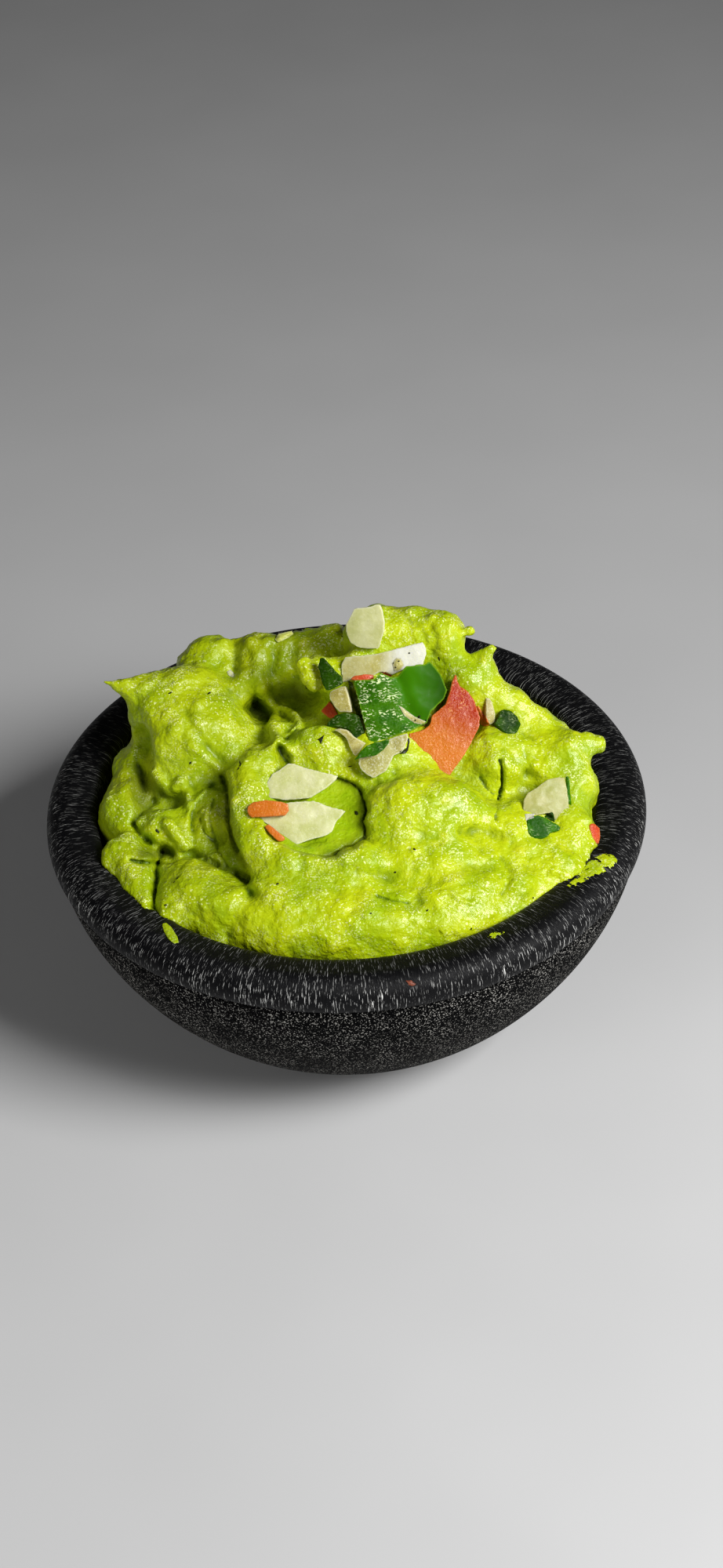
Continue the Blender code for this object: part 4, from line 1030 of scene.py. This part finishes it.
# marks that run in over the rim: fine across, long along the section
def rimStreaks(tree, place):
    across = {name: axis(tree, place, name) for name in "XY"}
    flat = addNode(tree, "CombineXYZ", across).outputs[0]
    length = addNode(tree, "VectorMath", {0: flat}, operation="LENGTH").outputs["Value"]
    unit = addNode(tree, "VectorMath", {0: flat}, operation="NORMALIZE").outputs[0]
    perTurn = stoneLook["streakRadius"] / stoneLook["streakWidth"]
    around = addNode(tree, "VectorMath", {0: unit, "Scale": perTurn}, operation="SCALE").outputs[0]
    along = combine(tree, "SUBTRACT", length, axis(tree, place, "Z"))
    along = times(tree, along, 1 / (stoneLook["streakLength"] * mm))
    lift = addNode(tree, "CombineXYZ", {"Z": along}).outputs[0]
    total = addNode(tree, "VectorMath", {0: around, 1: lift}, operation="ADD").outputs[0]
    marks = addNode(tree, "TexNoise", {"Vector": total, "Scale": 1.0, "Detail": 2.0, "Roughness": 0.6})
    return marks.outputs["Fac"]


def makeStone(name, look, streaked=False):
    material, tree, shader, place = newMaterial(name)
    marks = rimStreaks(tree, place) if streaked else patches(tree, place, 0.36, 0, 1, 1, 0.6)
    mask = between(tree, marks, look["low"], look["high"])
    mask = times(tree, mask, between(tree, patches(tree, place, 7, 0.3, 0.6, 3), 0, 1, 0.3, 1))
    if streaked:
        # the pale streaks fade towards the crown of the rim and are densest down the shoulder: the stone's own
        # marks, made paler there as painted highlight where the shoulder catches the light
        lowest = rimTop - stoneLook["shoulderSheenDrop"] * mm
        mask = times(tree, mask, between(tree, axis(tree, place, "Z"), rimTop, lowest, 0.35, 1))
    colour = blend(tree, mask, look["dark"], look["pale"])
    rough = between(tree, marks, 0.3, 0.7, *look["rough"])
    finish(tree, shader, colour, rough, {"Specular IOR Level": look["shine"]})
    bump(tree, shader, marks, look["depth"], 0.8)
    return material


# the cut edges of a topping catch the light
def edgeShare(tree, start, end, most):
    return between(tree, stored(tree, "cutEdge"), start, end, most, 0)


onionLook = {"white": (0.70, 0.70, 0.62), "wet": (0.38, 0.6), "whitens": 2}


# onion is milky in patches, veined and grainy, and may turn white to the right of a place on the slice
def makeOnion(name, clear, milky, veins, grain=0.5, whiteFrom=None):
    material, tree, shader, place = newMaterial(name)
    colour = blend(tree, patches(tree, place, 3.2, 0.35, 0.65, 3), clear, milky)
    veined = between(tree, patches(tree, place, 0.45, 0.52, 0.7, 2, 0.7), 0, 1, 0, grain)
    colour = blend(tree, veined, colour, veins)
    if whiteFrom is not None:
        across = axis(tree, stored(tree, "slicePlace", "Vector"), "X")
        start, end = whiteFrom - onionLook["whitens"], whiteFrom + onionLook["whitens"]
        colour = blend(tree, between(tree, across, start, end, 0, 0.85), colour, onionLook["white"])
    colour = blend(tree, edgeShare(tree, 0.05, 0.4, 0.7), colour, veins)
    finish(tree, shader, colour, between(tree, patches(tree, place, 1.1), 0.3, 0.7, *onionLook["wet"]), {
        "Subsurface Weight": 0.5, "Subsurface Radius": (1.0, 0.95, 0.5), "Subsurface Scale": 0.0025,
        "Specular IOR Level": 0.28, "Coat Weight": 0.08, "Coat Roughness": 0.15})
    bump(tree, shader, patches(tree, place, 0.6), 0.05 + 0.2 * grain, 0.6)
    return material


tomatoLook = {
    "fleck": (0.72, 0.26, 0.09), "edge": (0.60, 0.16, 0.03), "glint": (0.85, 0.42, 0.15), "wet": (0.2, 0.42),
}


# tomato flesh runs from low to high along a direction on the slice, between start and end in mm
def makeTomato(name, low, high, direction, start, end):
    material, tree, shader, place = newMaterial(name)
    climb = dot(tree, stored(tree, "slicePlace", "Vector"), (*direction, 0))
    climb = combine(tree, "ADD", climb, between(tree, patches(tree, place, 3.5), 0, 1, -2.2, 2.2))
    colour = blend(tree, between(tree, climb, start, end), low, high)
    flecks = between(tree, patches(tree, place, 0.5, 0.56, 0.7), 0, 1, 0, 0.3)
    colour = blend(tree, flecks, colour, tomatoLook["fleck"])
    colour = blend(tree, edgeShare(tree, 0.0, 0.5, 0.6), colour, tomatoLook["edge"])
    glints = times(tree, patches(tree, place, 0.38, 0.58, 0.66, 1), patches(tree, place, 2.4, 0.46, 0.62), 0.4)
    colour = blend(tree, glints, colour, tomatoLook["glint"])
    finish(tree, shader, colour, between(tree, patches(tree, place, 0.9), 0.3, 0.7, *tomatoLook["wet"]), {
        "Subsurface Weight": 0.3, "Subsurface Radius": (1.0, 0.3, 0.12), "Subsurface Scale": 0.0018,
        "Specular IOR Level": 0.25, "Coat Weight": 0.12, "Coat Roughness": 0.1})
    bump(tree, shader, patches(tree, place, 0.5, 0, 1, 3, 0.6), 0.22, 0.8)
    return material


chilliLook = {
    "smooth": (0.04, 0.17, 0.001), "awayShade": (0.012, 0.06, 0.0005),
    "glint": (0.66, 0.76, 0.40), "cut": (0.16, 0.32, 0.012), "wet": (0.4, 0.55), "stretch": (0.8, 1.7, 1.7),
}


# chilli skin has pale glints and a bright cut edge; the square is wrinkled on its left, up to a place on the
# slice in mm, and smooth on its right, where it turns away and is painted darker as shade
def makeChilli(name, dark, bright, wrinkledTo=None, rim=0.28, glints=0.25):
    material, tree, shader, place = newMaterial(name)
    colour = blend(tree, patches(tree, place, 3.5, 0.4, 0.65, 3), dark, bright)
    wrinkles = patches(tree, place, 0.55, 0, 1, 1)
    stretched = addNode(tree, "VectorMath", {0: place, 1: chilliLook["stretch"]},
                        operation="MULTIPLY").outputs[0]
    # the pale glints on the skin are painted highlights, in stretched dots
    paintedGlintMarks = times(tree, patches(tree, stretched, 0.5, 0.53, 0.6, 1),
                   between(tree, patches(tree, place, 2.0, 0.46, 0.58), 0, 1, 0.02, glints))
    cut, shine = bright, 0.08
    if wrinkledTo is not None:
        cut, shine = chilliLook["cut"], 0.06
        spot = stored(tree, "slicePlace", "Vector")
        side = combine(tree, "ADD", axis(tree, spot, "X"), times(tree, axis(tree, spot, "Y"), 0.35))
        side = combine(tree, "ADD", side, between(tree, patches(tree, place, 2.5), 0, 1, -2.5, 2.5))
        wrinkled = between(tree, side, wrinkledTo + 1.5, wrinkledTo - 1.5)
        # the right of the square is painted darker: painted shade where it turns away from the light
        paintedShadeRight = between(tree, axis(tree, spot, "X"), 3.5, 10)
        colour = blend(tree, wrinkled, blend(tree, paintedShadeRight, chilliLook["smooth"], chilliLook["awayShade"]), colour)
        paintedGlintMarks = times(tree, paintedGlintMarks, wrinkled)
        wrinkles = times(tree, wrinkles, wrinkled)
    colour = blend(tree, paintedGlintMarks, colour, chilliLook["glint"])
    colour = blend(tree, edgeShare(tree, 0.05, rim, 0.9), colour, cut)
    finish(tree, shader, colour, between(tree, patches(tree, place, 1.2), 0.3, 0.7, *chilliLook["wet"]), {
        "Subsurface Weight": 0.08, "Subsurface Radius": (0.2, 1.0, 0.1), "Subsurface Scale": 0.001,
        "Specular IOR Level": shine})
    bump(tree, shader, wrinkles, 0.3, 0.7)
    return material


# dried specks and stains: dark, dull, barely uneven
def makeFleck(name, dark, bright):
    material, tree, shader, place = newMaterial(name)
    colour = blend(tree, patches(tree, place, 0.4, 0.4, 0.6), dark, bright)
    rough = between(tree, patches(tree, place, 0.3), 0.3, 0.7, 0.3, 0.6)
    finish(tree, shader, colour, rough, {"Specular IOR Level": 0.3})
    bump(tree, shader, patches(tree, place, 0.25), 0.1, 0.6)
    return material


# the finishes, by the name that a piece wears
finishes = {
    "mash": makeMash("mashedAvocado"),
    "mashSmear": makeMash("mashSmear", True),
    "stoneRim": makeStone("brushedStoneRim", stoneLook["rim"], True),
    "stoneBody": makeStone("roughStoneBody", stoneLook["body"]),
    "onion": makeOnion("onionFlesh", (0.46, 0.48, 0.17), (0.58, 0.58, 0.31), (0.70, 0.69, 0.48), 0.35),
    "onionWhite": makeOnion("onionWhite", (0.60, 0.59, 0.35), (0.69, 0.68, 0.51), (0.74, 0.73, 0.61)),
    "onionPeak": makeOnion("onionPeak", (0.43, 0.44, 0.17), (0.53, 0.53, 0.27), (0.66, 0.66, 0.43), 0.25),
    "onionRight": makeOnion("onionRight", (0.33, 0.34, 0.08), (0.40, 0.38, 0.125), (0.51, 0.50, 0.26), 0.25),
    "onionYellow": makeOnion("onionYellow", (0.42, 0.38, 0.10), (0.51, 0.485, 0.22), (0.63, 0.62, 0.42),
                             whiteFrom=1.5),
    "onionGrainy": makeOnion("onionGrainy", (0.30, 0.27, 0.06), (0.46, 0.44, 0.15), (0.66, 0.65, 0.48), 0.95),
    "onionBrown": makeOnion("onionSteeped", (0.34, 0.29, 0.06), (0.50, 0.45, 0.15), (0.68, 0.65, 0.42), 0.7),
    "onionGreen": makeOnion("onionGreen", (0.46, 0.50, 0.06), (0.56, 0.58, 0.12), (0.60, 0.62, 0.26)),
    "tomatoWedge": makeTomato("tomatoFlesh", (0.57, 0.16, 0.006), (0.37, 0.026, 0.003), (0.6, 0.8), -3, 6),
    "tomato": makeTomato("tomatoChips", (0.60, 0.09, 0.02), (0.48, 0.03, 0.012), (0, 1), -3, 3),
    "tomatoOrange": makeTomato("tomatoSkinStrip", (0.57, 0.15, 0.010), (0.60, 0.17, 0.014), (1, 0), -3, 3),
    "tomatoStain": makeFleck("chilliStain", (0.10, 0.025, 0.012), (0.22, 0.06, 0.03)),
    "chilliSquare": makeChilli("chilliSquare", (0.022, 0.105, 0.001), (0.05, 0.17, 0.001), 1.0, 0.45, 0.95),
    "chilli": makeChilli("chilliSkin", (0.014, 0.08, 0.001), (0.045, 0.17, 0.001)),
    "chilliDark": makeChilli("chilliDark", (0.008, 0.034, 0.0003), (0.026, 0.08, 0.0005), glints=0.2),
    "chilliOlive": makeChilli("oliveSkin", (0.05, 0.08, 0.002), (0.12, 0.15, 0.004)),
    "chilliHerb": makeFleck("driedHerb", (0.006, 0.010, 0.002), (0.02, 0.025, 0.004)),
}


def declare(piece, wears, *nodes):
    piece.data.materials.clear()
    for look in wears:
        piece.data.materials.append(finishes[look])
    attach(piece, "root")
    if nodes:
        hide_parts(*nodes)


declare(heap, ["mash"], "guacamole")
declare(stoneBowl, ["stoneRim", "stoneBody"], "bowl")
for face in stoneBowl.data.polygons:
    low = face.center.z < rimTop - (bowl["grooveDrop"] + 0.2) * mm
    face.material_index = 1 if low and face.normal.z < 0.3 else 0
smoothShade(stoneBowl, 60)
plain = {"onion": "onion", "tomato": "tomato", "pepper": "chilli"}
for name, piece in slices.items():
    declare(piece, [toppings[name].get("wears", plain[name.split("_")[0]])], name)
for name, piece in smallPieces.items():
    declare(piece, [scraps[name]["wears"]])
declare(herbSpecks, ["chilliHerb"])
print("finishes made")

studio = {
    "pitch": 38.14, "roll": 2.35, "lens": 62.1, "eye": (3.4, -442.6, 401.2), "nearest": 0.01,
    "roomLight": 0.03, "floorSize": 6, "floorTone": (0.52, 0.58),
}
lamps = {
    "keyLight": {"at": (0.37, -0.31, 0.48), "aim": (0, 0, 0.06), "size": 0.25, "power": 5.7},
    "fillLight": {"at": (-0.50, -0.50, 0.30), "aim": (0, 0, 0.05), "size": 0.40, "power": 1.5},
}
for name, lamp in lamps.items():
    bpy.ops.object.light_add(type="AREA", location=lamp["at"])
    light = bpy.context.active_object
    light.name = name
    light.data.size = lamp["size"]
    light.data.energy = lamp["power"]
    light.rotation_euler = (Vector(lamp["aim"]) - Vector(lamp["at"])).to_track_quat("-Z", "Y").to_euler()
bpy.data.objects["fillLight"].visible_glossy = False
world = bpy.data.worlds.new("softRoom")
world.use_nodes = True
world.node_tree.nodes["Background"].inputs["Color"].default_value = (1, 1, 1, 1)
world.node_tree.nodes["Background"].inputs["Strength"].default_value = studio["roomLight"]
bpy.context.scene.world = world
bpy.context.scene.view_settings.view_transform = "Standard"

bpy.ops.mesh.primitive_plane_add(size=studio["floorSize"])
floor = bpy.context.active_object
floor.name = "paleFloor"
material, tree, shader, place = newMaterial("paleFloor")
tone = between(tree, patches(tree, place, 60), 0, 1, *studio["floorTone"])
grey = addNode(tree, "CombineColor", {channel: tone for channel in ("Red", "Green", "Blue")}).outputs[0]
tree.links.new(grey, shader.inputs["Base Color"])
shader.inputs["Roughness"].default_value = 0.8
floor.data.materials.append(material)

pitch = Matrix.Rotation(math.radians(90 - studio["pitch"]), 4, "X")
roll = Matrix.Rotation(math.radians(-studio["roll"]), 4, "Z")
bpy.ops.object.camera_add()
camera = bpy.context.active_object
camera.matrix_world = Matrix.Translation([v * mm for v in studio["eye"]]) @ pitch @ roll
camera.data.lens = studio["lens"]
camera.data.sensor_width = 36
camera.data.clip_start = studio["nearest"]
bpy.context.scene.camera = camera
